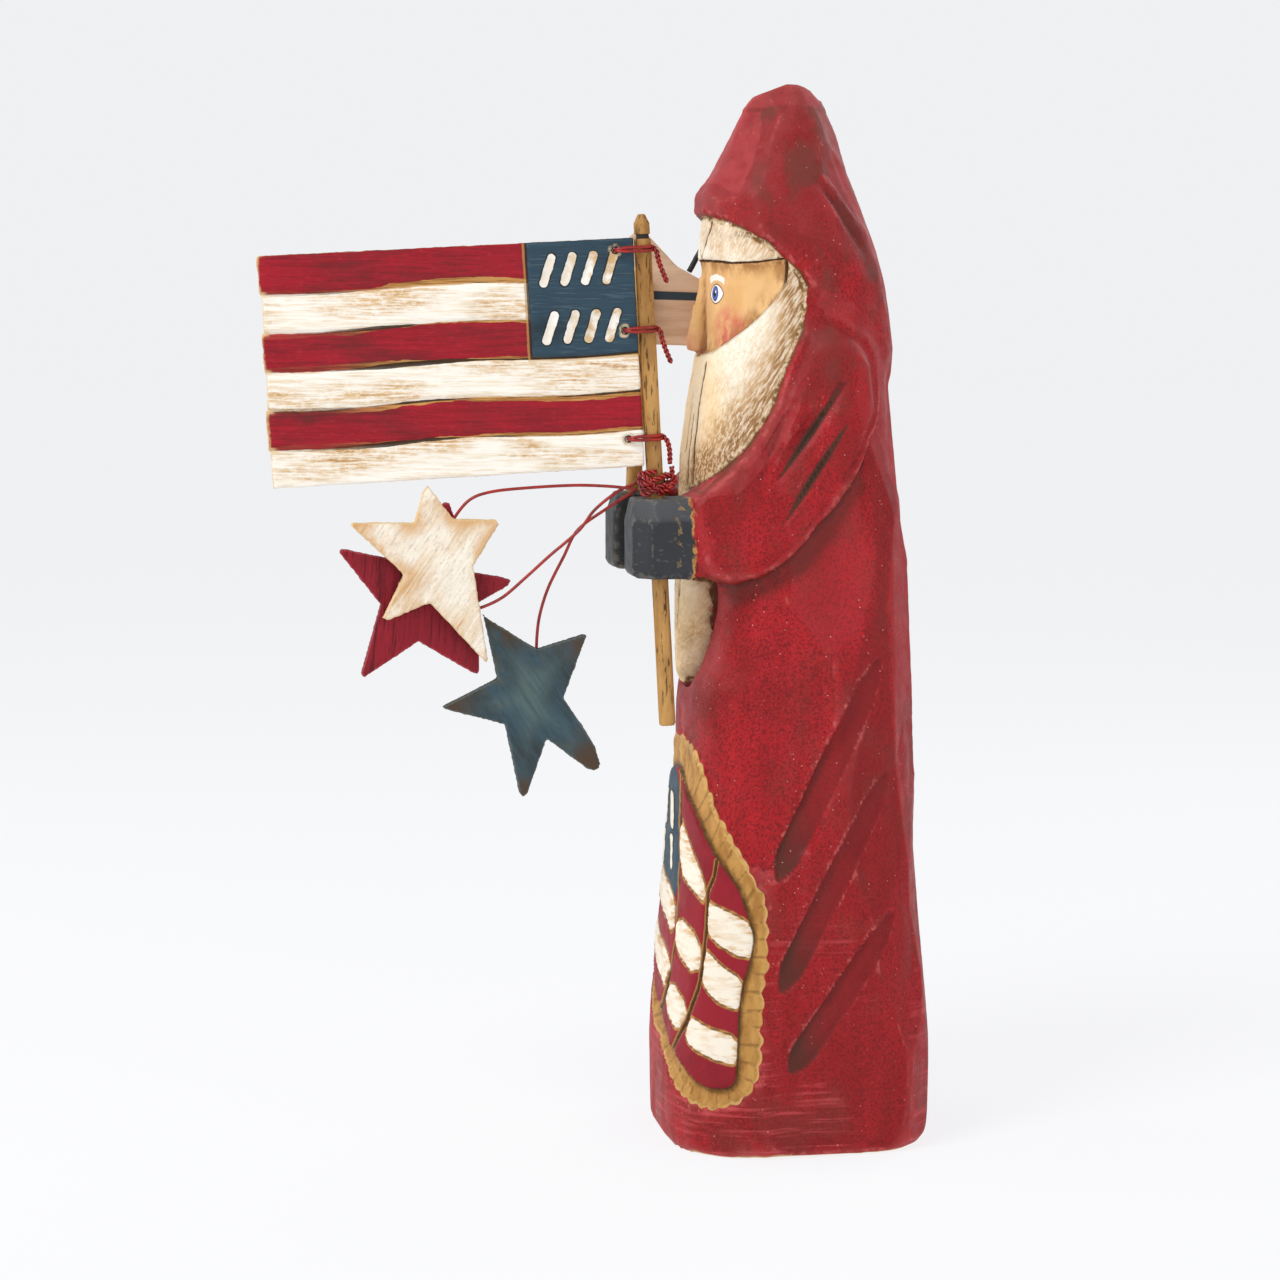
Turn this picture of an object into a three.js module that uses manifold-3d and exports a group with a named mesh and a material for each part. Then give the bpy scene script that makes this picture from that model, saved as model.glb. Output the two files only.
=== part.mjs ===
// A carved wooden santa in a long hooded robe, holding a flag on one stick and a board on the other.
// Millimetres, +Z up. The origin is the centre of the underside. The figure faces -Y, and its own
// left side is +X.
import * as THREE from 'three';
import { mergeVertices } from 'three/addons/utils/BufferGeometryUtils.js';
import Module from 'manifold-3d';

const wasm = await Module();
wasm.setup();

// Driving dimensions
const figureHeight = 304;
const stickDiameter = 4.8;
const stickClearance = 0.35;
const poleLength = 144;
const farStaffLength = 84;
const boardThickness = 3;
const flagLength = 104.5;
const flagHeight = 64;
const starThickness = 3;
const wireDiameter = 0.9;
const wireHoleClearance = 0.5;
const houseWidth = 37;
const houseHeight = 34;
const pegDiameter = 1.8;
const pegLength = 10;
const touchGap = 0.3;

// The carving's proportions are written for this height, and follow the figure's own
const standardHeight = 304;
const carve = (length) => (length * figureHeight) / standardHeight;

// Forms lofted from level sections: height, front, back, half width, squareness of the section
const robeForm = [
  [0, -36.9, 37.6, 36.6, 3.2],
  [2.5, -38.6, 39.2, 38.4, 3.2],
  [26, -39, 39.5, 38.8, 3.2],
  [50, -38, 38.6, 38, 3.1],
  [76, -35.6, 37, 37, 3],
  [107, -33.3, 35.6, 36, 3],
  [126, -33, 34.6, 35.4, 2.9],
  [133, -32.4, 34.2, 35.2, 2.9],
  [141, -29.4, 33.9, 35, 2.8],
  [152, -26.6, 33.4, 35, 2.8],
  [176, -25.6, 32.6, 35, 2.7],
  [187, -25.4, 32.2, 35, 2.7],
  [195, -25, 29.8, 34.5, 2.6],
  [212, -24, 28.4, 33.5, 2.6],
  [228, -20, 27.6, 31.5, 2.5],
  [240, -15, 26, 27, 2.4],
  [250, -8, 20, 18, 2.2],
];
const hoodForm = [
  [208, -16, 27.8, 24, 2.4],
  [231.5, -20, 30, 28.6, 2.4],
  [247, -24, 27, 30, 2.4],
  [255, -26, 25.2, 29, 2.3],
  [264, -27.2, 22, 27.2, 2.2],
  [272.5, -26.9, 19, 24.8, 2.2],
  [279, -22.6, 17, 22.2, 2.1],
  [287, -18.4, 14.2, 18.8, 2],
  [294, -15.2, 11.2, 15.2, 2],
  [299, -12.6, 8.6, 11.2, 2],
  [302.5, -8.6, 5.6, 7, 2],
  [304, -4.5, 2.4, 3.6, 2],
];
const hairForm = [
  [134.5, -33, 0, 2.4, 2.4],
  [139, -33.4, 0, 5.6, 2.8],
  [150, -33.4, 0, 8.6, 3.2],
  [166, -33, 0, 10.4, 3.2],
  [178, -32.2, 6, 17, 2.9],
  [188, -31.7, 16, 27, 2.3],
  [200, -31.2, 20, 32, 2.2],
  [214, -29.2, 20, 31.4, 2.2],
  [226, -27.2, 18, 29.6, 2.2],
  [240, -26.4, 18, 28.2, 2.2],
  [252, -26.4, 16, 27, 2.2],
  [262, -25.8, 14, 24.8, 2.2],
  [268, -24.6, 12, 22, 2.2],
  [276, -15, 6, 12, 2],
];
const faceForm = [
  [220, -25.4, 18, 29, 2.3],
  [232, -25.5, 18, 27.6, 2.3],
  [246, -25.2, 16, 26.2, 2.3],
  [260, -24.6, 14, 24.2, 2.3],
];
const robeSides = 38;
const hoodSides = 14;
const hairSides = 22;

// Cuts seen from the side: Y and Z of each corner
const faceOpening = [
  [-50, 267.3], [-26, 267.3], [-22, 265.5], [-16.4, 262.4], [-11.4, 259.4], [-7, 254.6], [-2.5, 251],
  [-0.5, 247], [-0.8, 241], [-2.2, 234.5], [-4.9, 228], [-8, 221], [-10.4, 214], [-13.5, 208],
  [-17.8, 201.5], [-24.3, 194.4], [-31.5, 188.3], [-50, 188.3],
];
const faceWindow = [
  [-50, 255], [-27, 254.2], [-21, 253.2], [-14.4, 253.4], [-6.4, 254.4], [-6.8, 248], [-9.6, 243],
  [-13.2, 238.8], [-16.8, 235.2], [-21.2, 231.4], [-25, 228], [-28, 226.4], [-50, 226.4],
];

// The sleeve's flat outer face and its knife-cut rim: rim Y, Z, X, then face Y, Z, X
const sleeveCorners = [
  [-33.4, 187.8, 29, -33.4, 185.4, 31.5],
  [-25.5, 195.4, 30, -24.5, 191.6, 34],
  [-19.5, 202.5, 31, -15.8, 200, 36],
  [-12.3, 214, 32, -8, 212, 37],
  [-6, 225, 31.5, -1.6, 223.4, 36.4],
  [-3, 240, 27.5, 0.8, 231, 35],
  [-2.2, 246, 24, 3.2, 231.6, 35],
  [8, 241.6, 23, 9, 231.6, 35],
  [14.8, 235.4, 24.5, 14.6, 229, 34.8],
  [18.6, 226, 28.5, 17, 225, 35],
  [19.4, 212, 33.5, 17, 211.6, 37.4],
  [13, 197.4, 36, 11, 198, 39],
  [6.2, 186.6, 36.6, 4.4, 188, 39.6],
  [-4.6, 171.9, 36.2, -6.4, 174, 38.8],
  [-11.8, 167.6, 34.6, -12.8, 170.4, 37.2],
  [-21, 164.2, 32, -21.4, 167.2, 34.6],
  [-33.4, 163.6, 29.5, -33.4, 166.4, 32],
];
const sleeveInside = 9.5;

// Gouge strokes on the figure's side: Y and Z along the stroke
const skirtStrokes = [
  [[19.4, 142], [14.3, 131], [4.3, 110], [-4.2, 92.4], [-10.8, 80]],
  [[23, 109.6], [10.3, 86.3], [0.3, 67.5], [-9.4, 48]],
  [[25, 69.2], [13.2, 52.9], [3.1, 38.8], [-7, 25]],
];
const sleeveStrokes = [
  [[8.5, 220.5], [-0.7, 206.7], [-10.3, 193]],
  [[9.2, 209.4], [-0.1, 195.4], [-9.4, 181]],
];
const hoodStroke = [[-1.6, 281], [5.8, 274.4], [12, 266], [16.4, 257.6], [20, 250.4]];
const underSleeveStroke = [[12.4, 191.4], [5, 180.6], [-4, 169.6], [-12, 164], [-21, 160.4]];

// Grooves in the beard and in the hair over the brow: turn in degrees from the front, and Z
const hairStrokes = [
  [[15, 225], [16, 212], [16.5, 200], [19, 190], [27, 180]],
  [[0.5, 254.4], [7, 258.4], [15, 263], [21, 267]],
];

// The draped flag carved on the skirt: turn in degrees from the front, and Z
const panelBorder = [
  [2, 117], [15, 108], [33, 98], [51, 86], [68, 72], [74, 58], [72, 42], [69, 26], [58, 17.5],
  [40, 18], [22, 23], [4, 32], [-20, 44], [-40, 62], [-40, 86], [-20, 108],
];
const panelFolds = [
  [[-1, 117], [3, 98], [8, 84], [9, 66], [8, 48], [1, 36]],
  [[37, 84], [42, 73], [41, 60], [38, 46], [28, 35], [17, 28]],
];

// Cross-sections of the carving tools, as shares of their half width and depth
const vee = [[-1, 1.4], [-1, 0], [0, -1], [1, 0], [1, 1.4]];
const round = [[-1.1, 1.4], [-1, 0], [-0.6, -0.72], [0, -1], [0.6, -0.72], [1, 0], [1.1, 1.4]];

// The cut of each kind of stroke, and the steps that its sweep takes
const skirtGouge = { shape: round, halfWidth: carve(3.3), depth: carve(1.7), steps: 8 };
const underSleeveGouge = { shape: round, halfWidth: carve(3.4), depth: carve(1.5), steps: 6 };
const hoodGouge = { shape: round, halfWidth: carve(2.9), depth: carve(2.3), steps: 7 };
const sleeveVee = { shape: vee, halfWidth: carve(0.9), depth: carve(1.6), steps: 6 };
const hairVee = { shape: vee, halfWidth: carve(0.9), depth: carve(1), steps: 4 };
const borderVee = { shape: vee, halfWidth: carve(2.2), depth: carve(1.4), steps: 27 };
const foldVee = { shape: vee, halfWidth: carve(1.3), depth: carve(1.2), steps: 10 };
const stripeVee = { shape: vee, halfWidth: 0.9, depth: 0.8, steps: 11 };
const cantonGouge = { shape: round, halfWidth: 1.4, depth: 0.45 };

// The mittens, the grip of each stick and the leans of the sticks
const mittenInside = carve(9);
const mittenOutside = carve(30);
const mittenFront = carve(-50);
const mittenBack = carve(-30);
const mittenBottom = carve(165);
const mittenTop = carve(187.5);
const gripX = carve(18.5);
const gripY = carve(-41.6);
const farGripY = carve(-42.8);
const gripZ = (mittenBottom + mittenTop) / 2;
const poleLean = THREE.MathUtils.degToRad(3);
const farStaffLean = THREE.MathUtils.degToRad(-2);
const poleBelowGrip = 53.5;
const farStaffBelowGrip = 9;
const houseAboveGrip = 54;

// Flag layout, from the pole outwards and from the top down
const stripeCount = 6;
const cantonLength = 30.6;
const cantonStripes = 3;
const flagAboveMitten = 9;
const stripeWave = 0.5;
// Two rows of short plain strokes on the canton, all leaning the same way
const cantonRows = 2;
const cantonStrokes = 4;
const strokeLength = 7;
const strokeLean = 1.3;
const tieHoles = [
  { name: 'top', along: 5.4, down: 3.4 },
  { name: 'middle', along: 3.8, down: 25.8 },
  { name: 'bottom', along: 4.4, down: 56 },
];

const stickRadius = stickDiameter / 2;
const wireRadius = wireDiameter / 2;
const besideStick = stickRadius + touchGap + wireRadius;
const mittenTopAboveGrip = mittenTop - gripZ;
const flagTop = mittenTopAboveGrip + flagAboveMitten + flagHeight;

// The sawn stars, with blunt tips: Y and Z of each corner, from the grip of the pole
const stars = [
  {
    name: 'white',
    x: 3.5,
    corners: [[-66.8, 13.6], [-65.4, 15.7], [-63.1, 12.8], [-58.4, 6.2], [-46.3, 5.9], [-45.5, 4.5],
      [-52.7, -7], [-48.8, -33.3], [-49.3, -34.5], [-65.1, -17.3], [-76.9, -22], [-78.2, -21.3],
      [-72.3, -9.2], [-85.9, 3.6], [-87.1, 5], [-85.7, 5.5], [-69.2, 5.3]],
    behind: true,
    wire: [[-6.4, 13.7, 1.6], [-13.9, 14.6, 1.7], [-24, 15, 1.8], [-37.3, 14.4, 1.6], [-47.2, 13.4, 1.4],
      [-53.1, 11.4], [-57.2, 7], [-59.4, 2.6]],
  },
  {
    name: 'red',
    x: -1.5,
    corners: [[-60.2, 10.6], [-58.8, 10.4], [-52, -9.2], [-43.8, -10.6], [-41.6, -11.6], [-42.4, -13.2],
      [-50.9, -17.9], [-50.6, -36.8], [-51.2, -38], [-53, -37.4], [-67.8, -28.5], [-83.1, -38.4],
      [-84, -37.2], [-78.4, -17.9], [-89.8, -3.3], [-89.2, -2.2], [-87.3, -2.4], [-76.8, -4.8]],
    behind: false,
    wire: [[-6.2, 15.4, 0], [-11.6, 13, 0.2], [-18.1, 8, 0.7], [-22.7, 2.2, 0.9], [-30.9, -4.7, 0.9],
      [-37.4, -10.5, 0.8], [-43.9, -16], [-49.6, -18.8], [-54, -19.8]],
  },
  {
    name: 'blue',
    x: -1.5,
    corners: [[-49.6, -21.2], [-48.4, -22.1], [-34.4, -31], [-21.3, -27.2], [-20, -27.2], [-26.8, -45.1],
      [-21.6, -52.9], [-17.8, -59.3], [-16.3, -64], [-16.8, -65.6], [-18.5, -66.2], [-20.4, -65.5],
      [-31.7, -56.8], [-37.3, -72.4], [-38.8, -73.3], [-39.6, -72], [-43.6, -52.5], [-61.3, -47.5],
      [-61.2, -46.9], [-45.7, -39.3]],
    behind: true,
    wire: [[-6.2, 13.2, -1.6], [-14.7, 8, -1.4], [-22.7, 2.2, -1.2], [-26.6, -5.2, -1.6], [-30.9, -14, -2.4],
      [-33.2, -21.6, -3.2], [-34, -28], [-34.2, -35]],
  },
];

// Twisted wire is as wide as its two strands side by side
const strandPair = 2 * wireDiameter;
const bundleTurns = 3;
const bundleSway = 0.7;
const bundleAboveMitten = 1.3;
const tailDrop = 10;
const tailReach = 3.4;
const tieSteps = 35;
const bundleSteps = 42;
const starWireSteps = 17;

// A closed body from a list of corners and triangles, turned so that its faces point out
function closedGeometry(corners, triangles) {
  const [a, b, c] = [new THREE.Vector3(), new THREE.Vector3(), new THREE.Vector3()];
  let volume = 0;
  for (const [i, j, k] of triangles) {
    a.copy(corners[i]);
    b.copy(corners[j]);
    c.copy(corners[k]);
    volume += a.dot(b.cross(c));
  }
  const index = triangles.flatMap(([i, j, k]) => (volume > 0 ? [i, j, k] : [i, k, j]));
  const geometry = new THREE.BufferGeometry();
  geometry.setAttribute('position', new THREE.Float32BufferAttribute(corners.flatMap((p) => p.toArray()), 3));
  geometry.setIndex(index);
  return geometry;
}

// Joins rings of equal count into a tube, with a fan on each end or end to end as a closed loop
function loft(rings, isLoop = false) {
  const count = rings[0].length;
  const corners = rings.flat();
  const triangles = [];
  const spans = isLoop ? rings.length : rings.length - 1;
  for (let r = 0; r < spans; r += 1) {
    const low = r * count;
    const high = ((r + 1) % rings.length) * count;
    for (let i = 0; i < count; i += 1) {
      const next = (i + 1) % count;
      triangles.push([low + i, low + next, high + next], [low + i, high + next, high + i]);
    }
  }
  if (!isLoop) {
    for (const [ring, start] of [[rings[0], 0], [rings.at(-1), corners.length - count]]) {
      const centre = ring.reduce((sum, p) => sum.add(p), new THREE.Vector3()).divideScalar(count);
      const hub = corners.push(centre) - 1;
      for (let i = 0; i < count; i += 1) {
        const next = (i + 1) % count;
        triangles.push(start === 0 ? [hub, start + next, start + i] : [hub, start + i, start + next]);
      }
    }
  }
  return closedGeometry(corners, triangles);
}

// Like loft, for rings whose outline has hollows: each end is split into triangles in the YZ plane
function loftOutline(rings) {
  const count = rings[0].length;
  const outline = rings[0].map((p) => new THREE.Vector2(p.y, p.z));
  const corners = rings.flat();
  const triangles = [];
  for (let r = 0; r < rings.length - 1; r += 1) {
    const low = r * count;
    const high = low + count;
    for (let i = 0; i < count; i += 1) {
      const next = (i + 1) % count;
      triangles.push([low + i, low + next, high + next], [low + i, high + next, high + i]);
    }
  }
  const isCounterClockwise = !THREE.ShapeUtils.isClockWise(outline);
  const last = corners.length - count;
  for (const [i, j, k] of THREE.ShapeUtils.triangulateShape(outline, [])) {
    triangles.push(isCounterClockwise ? [k, j, i] : [i, j, k]);
    triangles.push(isCounterClockwise ? [last + i, last + j, last + k] : [last + k, last + j, last + i]);
  }
  return closedGeometry(corners, triangles);
}

function toSolid(geometry) {
  const bare = geometry.clone();
  bare.deleteAttribute('normal');
  bare.deleteAttribute('uv');
  const merged = mergeVertices(bare, 1e-4);
  return new wasm.Manifold(new wasm.Mesh({
    numProp: 3,
    vertProperties: new Float32Array(merged.attributes.position.array),
    triVerts: new Uint32Array(merged.index.array),
  }));
}

function toGeometry(solid) {
  const mesh = solid.getMesh();
  const geometry = new THREE.BufferGeometry();
  geometry.setAttribute('position', new THREE.BufferAttribute(new Float32Array(mesh.vertProperties), 3));
  geometry.setIndex(new THREE.BufferAttribute(new Uint32Array(mesh.triVerts), 1));
  return geometry;
}

// The section of a form at a height, between the levels it is drawn at
function sectionAt(form, z) {
  const level = z / carve(1);
  let above = form.findIndex((row) => row[0] >= level);
  above = above < 0 ? form.length - 1 : Math.max(above, 1);
  const [low, high] = [form[above - 1], form[above]];
  const share = THREE.MathUtils.clamp((level - low[0]) / (high[0] - low[0]), 0, 1);
  const [front, back, halfWidth, squareness] = [1, 2, 3, 4].map((i) => low[i] + (high[i] - low[i]) * share);
  return { front: carve(front), back: carve(back), halfWidth: carve(halfWidth), squareness };
}

// A point on a form: turn is 0 at the front, and grows towards the figure's left
function formPoint(form, turn, z) {
  const { front, back, halfWidth, squareness } = sectionAt(form, z);
  const across = Math.sin(turn);
  const ahead = Math.cos(turn);
  const power = 2 / squareness;
  const x = halfWidth * Math.sign(across) * Math.abs(across) ** power;
  const y = (front + back) / 2 - ((back - front) / 2) * Math.sign(ahead) * Math.abs(ahead) ** power;
  return new THREE.Vector3(x, y, z);
}

function formSolid(form, sides) {
  const rings = form.map(([level]) => {
    const z = carve(level);
    return Array.from({ length: sides }, (_, i) => formPoint(form, ((i + 0.5) * 2 * Math.PI) / sides, z));
  });
  return toSolid(loft(rings));
}

// A prism that runs right across the figure, from an outline seen from the side
function sidePrism(outline) {
  const shape = new THREE.Shape(outline.map(([y, z]) => new THREE.Vector2(carve(y), carve(z))));
  const reach = carve(60);
  const prism = new THREE.ExtrudeGeometry(shape, { depth: 2 * reach, bevelEnabled: false });
  const [along, up, across] = [new THREE.Vector3(0, 1, 0), new THREE.Vector3(0, 0, 1), new THREE.Vector3(1, 0, 0)];
  prism.applyMatrix4(new THREE.Matrix4().makeBasis(along, up, across));
  prism.translate(-reach, 0, 0);
  return toSolid(prism);
}

// Sweeps a tool along stations that lie on a surface, each with a point, an outward direction and a size
function toolSweep(stations, { shape, halfWidth, depth }, isLoop = false) {
  const count = stations.length;
  const rings = stations.map(({ at, out, size }, i) => {
    const before = stations[isLoop ? (i + count - 1) % count : Math.max(i - 1, 0)].at;
    const after = stations[isLoop ? (i + 1) % count : Math.min(i + 1, count - 1)].at;
    const along = after.clone().sub(before).normalize();
    const across = new THREE.Vector3().crossVectors(out, along).normalize();
    return shape.map(([side, height]) => at.clone()
      .addScaledVector(across, side * halfWidth * size)
      .addScaledVector(out, height * (height > 0 ? Math.max(depth, halfWidth) : depth) * size));
  });
  return toSolid(loft(rings, isLoop));
}

// A station on a form, with the direction that its surface faces there
function formStation(form, turn, z, size) {
  const nudge = 0.02;
  const at = formPoint(form, turn, z);
  const aside = formPoint(form, turn + nudge, z).sub(formPoint(form, turn - nudge, z));
  const upward = formPoint(form, turn, z + 1).sub(formPoint(form, turn, z - 1));
  return { at, out: aside.cross(upward).normalize(), size };
}

// The turn at which a form's side stands at a given Y
function turnAt(form, y, z) {
  const { front, back, squareness } = sectionAt(form, z);
  const ahead = ((front + back) / 2 - y) / ((back - front) / 2);
  return Math.acos(Math.sign(ahead) * Math.min(Math.abs(ahead), 1) ** (squareness / 2));
}

const strokeCurve = (stroke) => new THREE.CatmullRomCurve3(
  stroke.map(([y, z]) => new THREE.Vector3(0, carve(y), carve(z))),
);

// Stations of a stroke drawn from the side on a form
function formStations(form, side, stroke, steps, swell) {
  const curve = strokeCurve(stroke);
  return Array.from({ length: steps + 1 }, (_, i) => {
    const { y, z } = curve.getPointAt(i / steps);
    return formStation(form, side * turnAt(form, y, z), z, swell(i / steps));
  });
}

// Stations of a stroke drawn from the side on a flat carved face, found by looking at it along X
function flatStations(mesh, side, stroke, steps, swell) {
  const curve = strokeCurve(stroke);
  const far = carve(100);
  return Array.from({ length: steps + 1 }, (_, i) => {
    const { y, z } = curve.getPointAt(i / steps);
    const ray = new THREE.Raycaster(new THREE.Vector3(side * far, y, z), new THREE.Vector3(-side, 0, 0));
    const [hit] = ray.intersectObject(mesh);
    return { at: hit.point, out: new THREE.Vector3(side, 0, 0), size: swell(i / steps) };
  });
}

// Stations of a line drawn on a form by its turn and height
function lineStations(form, side, line, steps, swell, isLoop = false) {
  const curve = new THREE.CatmullRomCurve3(line.map(([turn, z]) => new THREE.Vector3(turn, z, 0)), isLoop);
  const count = isLoop ? steps : steps + 1;
  return Array.from({ length: count }, (_, i) => {
    const place = curve.getPoint(i / steps);
    return formStation(form, side * THREE.MathUtils.degToRad(place.x), carve(place.y), swell(i / steps));
  });
}

const slimSwell = (u) => Math.max(Math.sin(Math.PI * u) ** 0.8, 0.06);
const blunt = (u) => Math.max(Math.min(1, (u / 0.4) ** 0.7, ((1 - u) / 0.07) ** 0.5), 0.08);
const even = () => 1;

function sleeve(side) {
  const rim = sleeveCorners.map(([y, z, x]) => new THREE.Vector3(side * carve(x), carve(y), carve(z)));
  const face = sleeveCorners.map(([, , , y, z, x]) => new THREE.Vector3(side * carve(x), carve(y), carve(z)));
  const inside = rim.map((p) => new THREE.Vector3(side * carve(sleeveInside), p.y, p.z));
  return toSolid(loftOutline([inside, rim, face]));
}

// One mitten: a block with a broad bevel on its outer upright corner and along its outer top edge
function mitten(side) {
  const bevel = carve(6);
  const bevelRun = bevel * 0.8;
  const nick = carve(1.4);
  const outline = (outside, front, inset) => [
    [mittenInside + inset, mittenBack],
    [mittenInside + inset, front + nick],
    [mittenInside + inset + nick, front],
    [outside - bevel, front],
    [outside, front + bevelRun],
    [outside, mittenBack],
  ];
  const ring = (z, points) => points.map(([x, y]) => new THREE.Vector3(side * x, y, z));
  const topEdge = mittenTop - bevel;
  return toSolid(loft([
    ring(mittenBottom, outline(mittenOutside - nick, mittenFront + nick, nick)),
    ring(mittenBottom + nick, outline(mittenOutside, mittenFront, 0)),
    ring(topEdge, outline(mittenOutside, mittenFront, 0)),
    ring(mittenTop, outline(mittenOutside - bevelRun, mittenFront + nick, 0)),
  ]));
}

function nose() {
  const rows = [[253, -25.6, 1.6], [242, -26.9, 2.5], [230, -28.4, 4.2], [227.4, -26.8, 3.8]];
  const root = carve(-20);
  return toSolid(loft(rows.map(([level, ridge, halfWidth]) => {
    const z = carve(level);
    const shoulder = carve(ridge + 0.9);
    const [wide, slim] = [carve(halfWidth), carve(halfWidth * 0.45)];
    return [[-wide, root], [-wide, carve(ridge + 2)], [-slim, shoulder], [0, carve(ridge)], [slim, shoulder],
      [wide, carve(ridge + 2)], [wide, root]].map(([x, y]) => new THREE.Vector3(x, y, z));
  })));
}

// The trench beside the lower beard, where the robe's edges part around it
function beardTrench() {
  const trenchTop = 178;
  const floor = -20.5;
  const margin = 3.2;
  const widest = 11;
  const ahead = 8;
  const under = 1.5;
  const rows = hairForm.filter(([level]) => level <= trenchTop);
  return formSolid(rows.map(([level, front, , halfWidth, squareness]) => (
    [level - under, front - ahead, floor, Math.min(halfWidth, widest) + margin, squareness])), hairSides);
}

// The hole for a stick, from some way below its grip up through the mitten's top
function stickBore(x, y, lean, below) {
  const reach = below + mittenTop;
  const sides = 18;
  const bore = new THREE.CylinderGeometry(stickRadius + stickClearance, stickRadius + stickClearance, reach, sides);
  bore.rotateX(Math.PI / 2);
  bore.translate(0, 0, reach / 2 - below);
  bore.rotateX(lean);
  bore.translate(x, y, gripZ);
  return toSolid(bore);
}

function carvedFigure() {
  let robe = formSolid(robeForm, robeSides).subtract(beardTrench());
  robe = robe.add(formSolid(hoodForm, hoodSides)).add(sleeve(1)).add(sleeve(-1));
  robe = robe.subtract(sidePrism(faceOpening));

  const face = formSolid(faceForm, hairSides).add(nose());
  const hair = formSolid(hairForm, hairSides).subtract(sidePrism(faceWindow));
  const head = hair.add(face);

  let figure = robe.add(head).add(mitten(1)).add(mitten(-1));
  const uncut = new THREE.Mesh(toGeometry(figure));
  for (const side of [1, -1]) {
    for (const stroke of skirtStrokes) {
      const stations = formStations(robeForm, side, stroke, skirtGouge.steps, blunt);
      figure = figure.subtract(toolSweep(stations, skirtGouge));
    }
    for (const stroke of sleeveStrokes) {
      const stations = flatStations(uncut, side, stroke, sleeveVee.steps, slimSwell);
      figure = figure.subtract(toolSweep(stations, sleeveVee));
    }
    const hoodStations = formStations(hoodForm, side, hoodStroke, hoodGouge.steps, slimSwell);
    figure = figure.subtract(toolSweep(hoodStations, hoodGouge));
    const hollow = formStations(robeForm, side, underSleeveStroke, underSleeveGouge.steps, slimSwell);
    figure = figure.subtract(toolSweep(hollow, underSleeveGouge));
    for (const stroke of hairStrokes) {
      const stations = lineStations(hairForm, side, stroke, hairVee.steps, slimSwell);
      figure = figure.subtract(toolSweep(stations, hairVee));
    }
  }
  const border = lineStations(robeForm, 1, panelBorder, borderVee.steps, even, true);
  figure = figure.subtract(toolSweep(border, borderVee, true));
  for (const fold of panelFolds) {
    const stations = lineStations(robeForm, 1, fold, foldVee.steps, slimSwell);
    figure = figure.subtract(toolSweep(stations, foldVee));
  }
  figure = figure.subtract(stickBore(gripX, gripY, poleLean, mittenTop - mittenBottom));
  figure = figure.subtract(stickBore(-gripX, farGripY, farStaffLean, farStaffBelowGrip + touchGap));
  return toGeometry(figure);
}

// A turned or whittled stick along +Z, from its radius at each height
function stick(profile, sides) {
  const body = new THREE.LatheGeometry(profile.map(([radius, z]) => new THREE.Vector2(radius, z)), sides);
  body.rotateX(Math.PI / 2);
  return body;
}

function farStaff() {
  return stick([[0, 0], [stickRadius, 0], [stickRadius, farStaffLength], [0, farStaffLength]], 16);
}

// The flag's stick, with a whittled point and a ring cut below it
function flagPole() {
  const pointLength = 2.2;
  const capLength = 5.4;
  const ringWidth = 1.6;
  const ringCut = 0.7;
  const capBottom = poleLength - capLength;
  return stick([
    [0, 0],
    [stickRadius, 0],
    [stickRadius, capBottom - ringWidth],
    [stickRadius - ringCut, capBottom - ringWidth / 2],
    [stickRadius, capBottom],
    [stickRadius, poleLength - pointLength],
    [stickRadius * 0.4, poleLength],
    [0, poleLength],
  ], 12);
}

// Wave of the lines between stripes, along the flag from the pole outwards
const waveAt = (along) => stripeWave * Math.sin((along / flagLength) * 3 * Math.PI);

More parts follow.
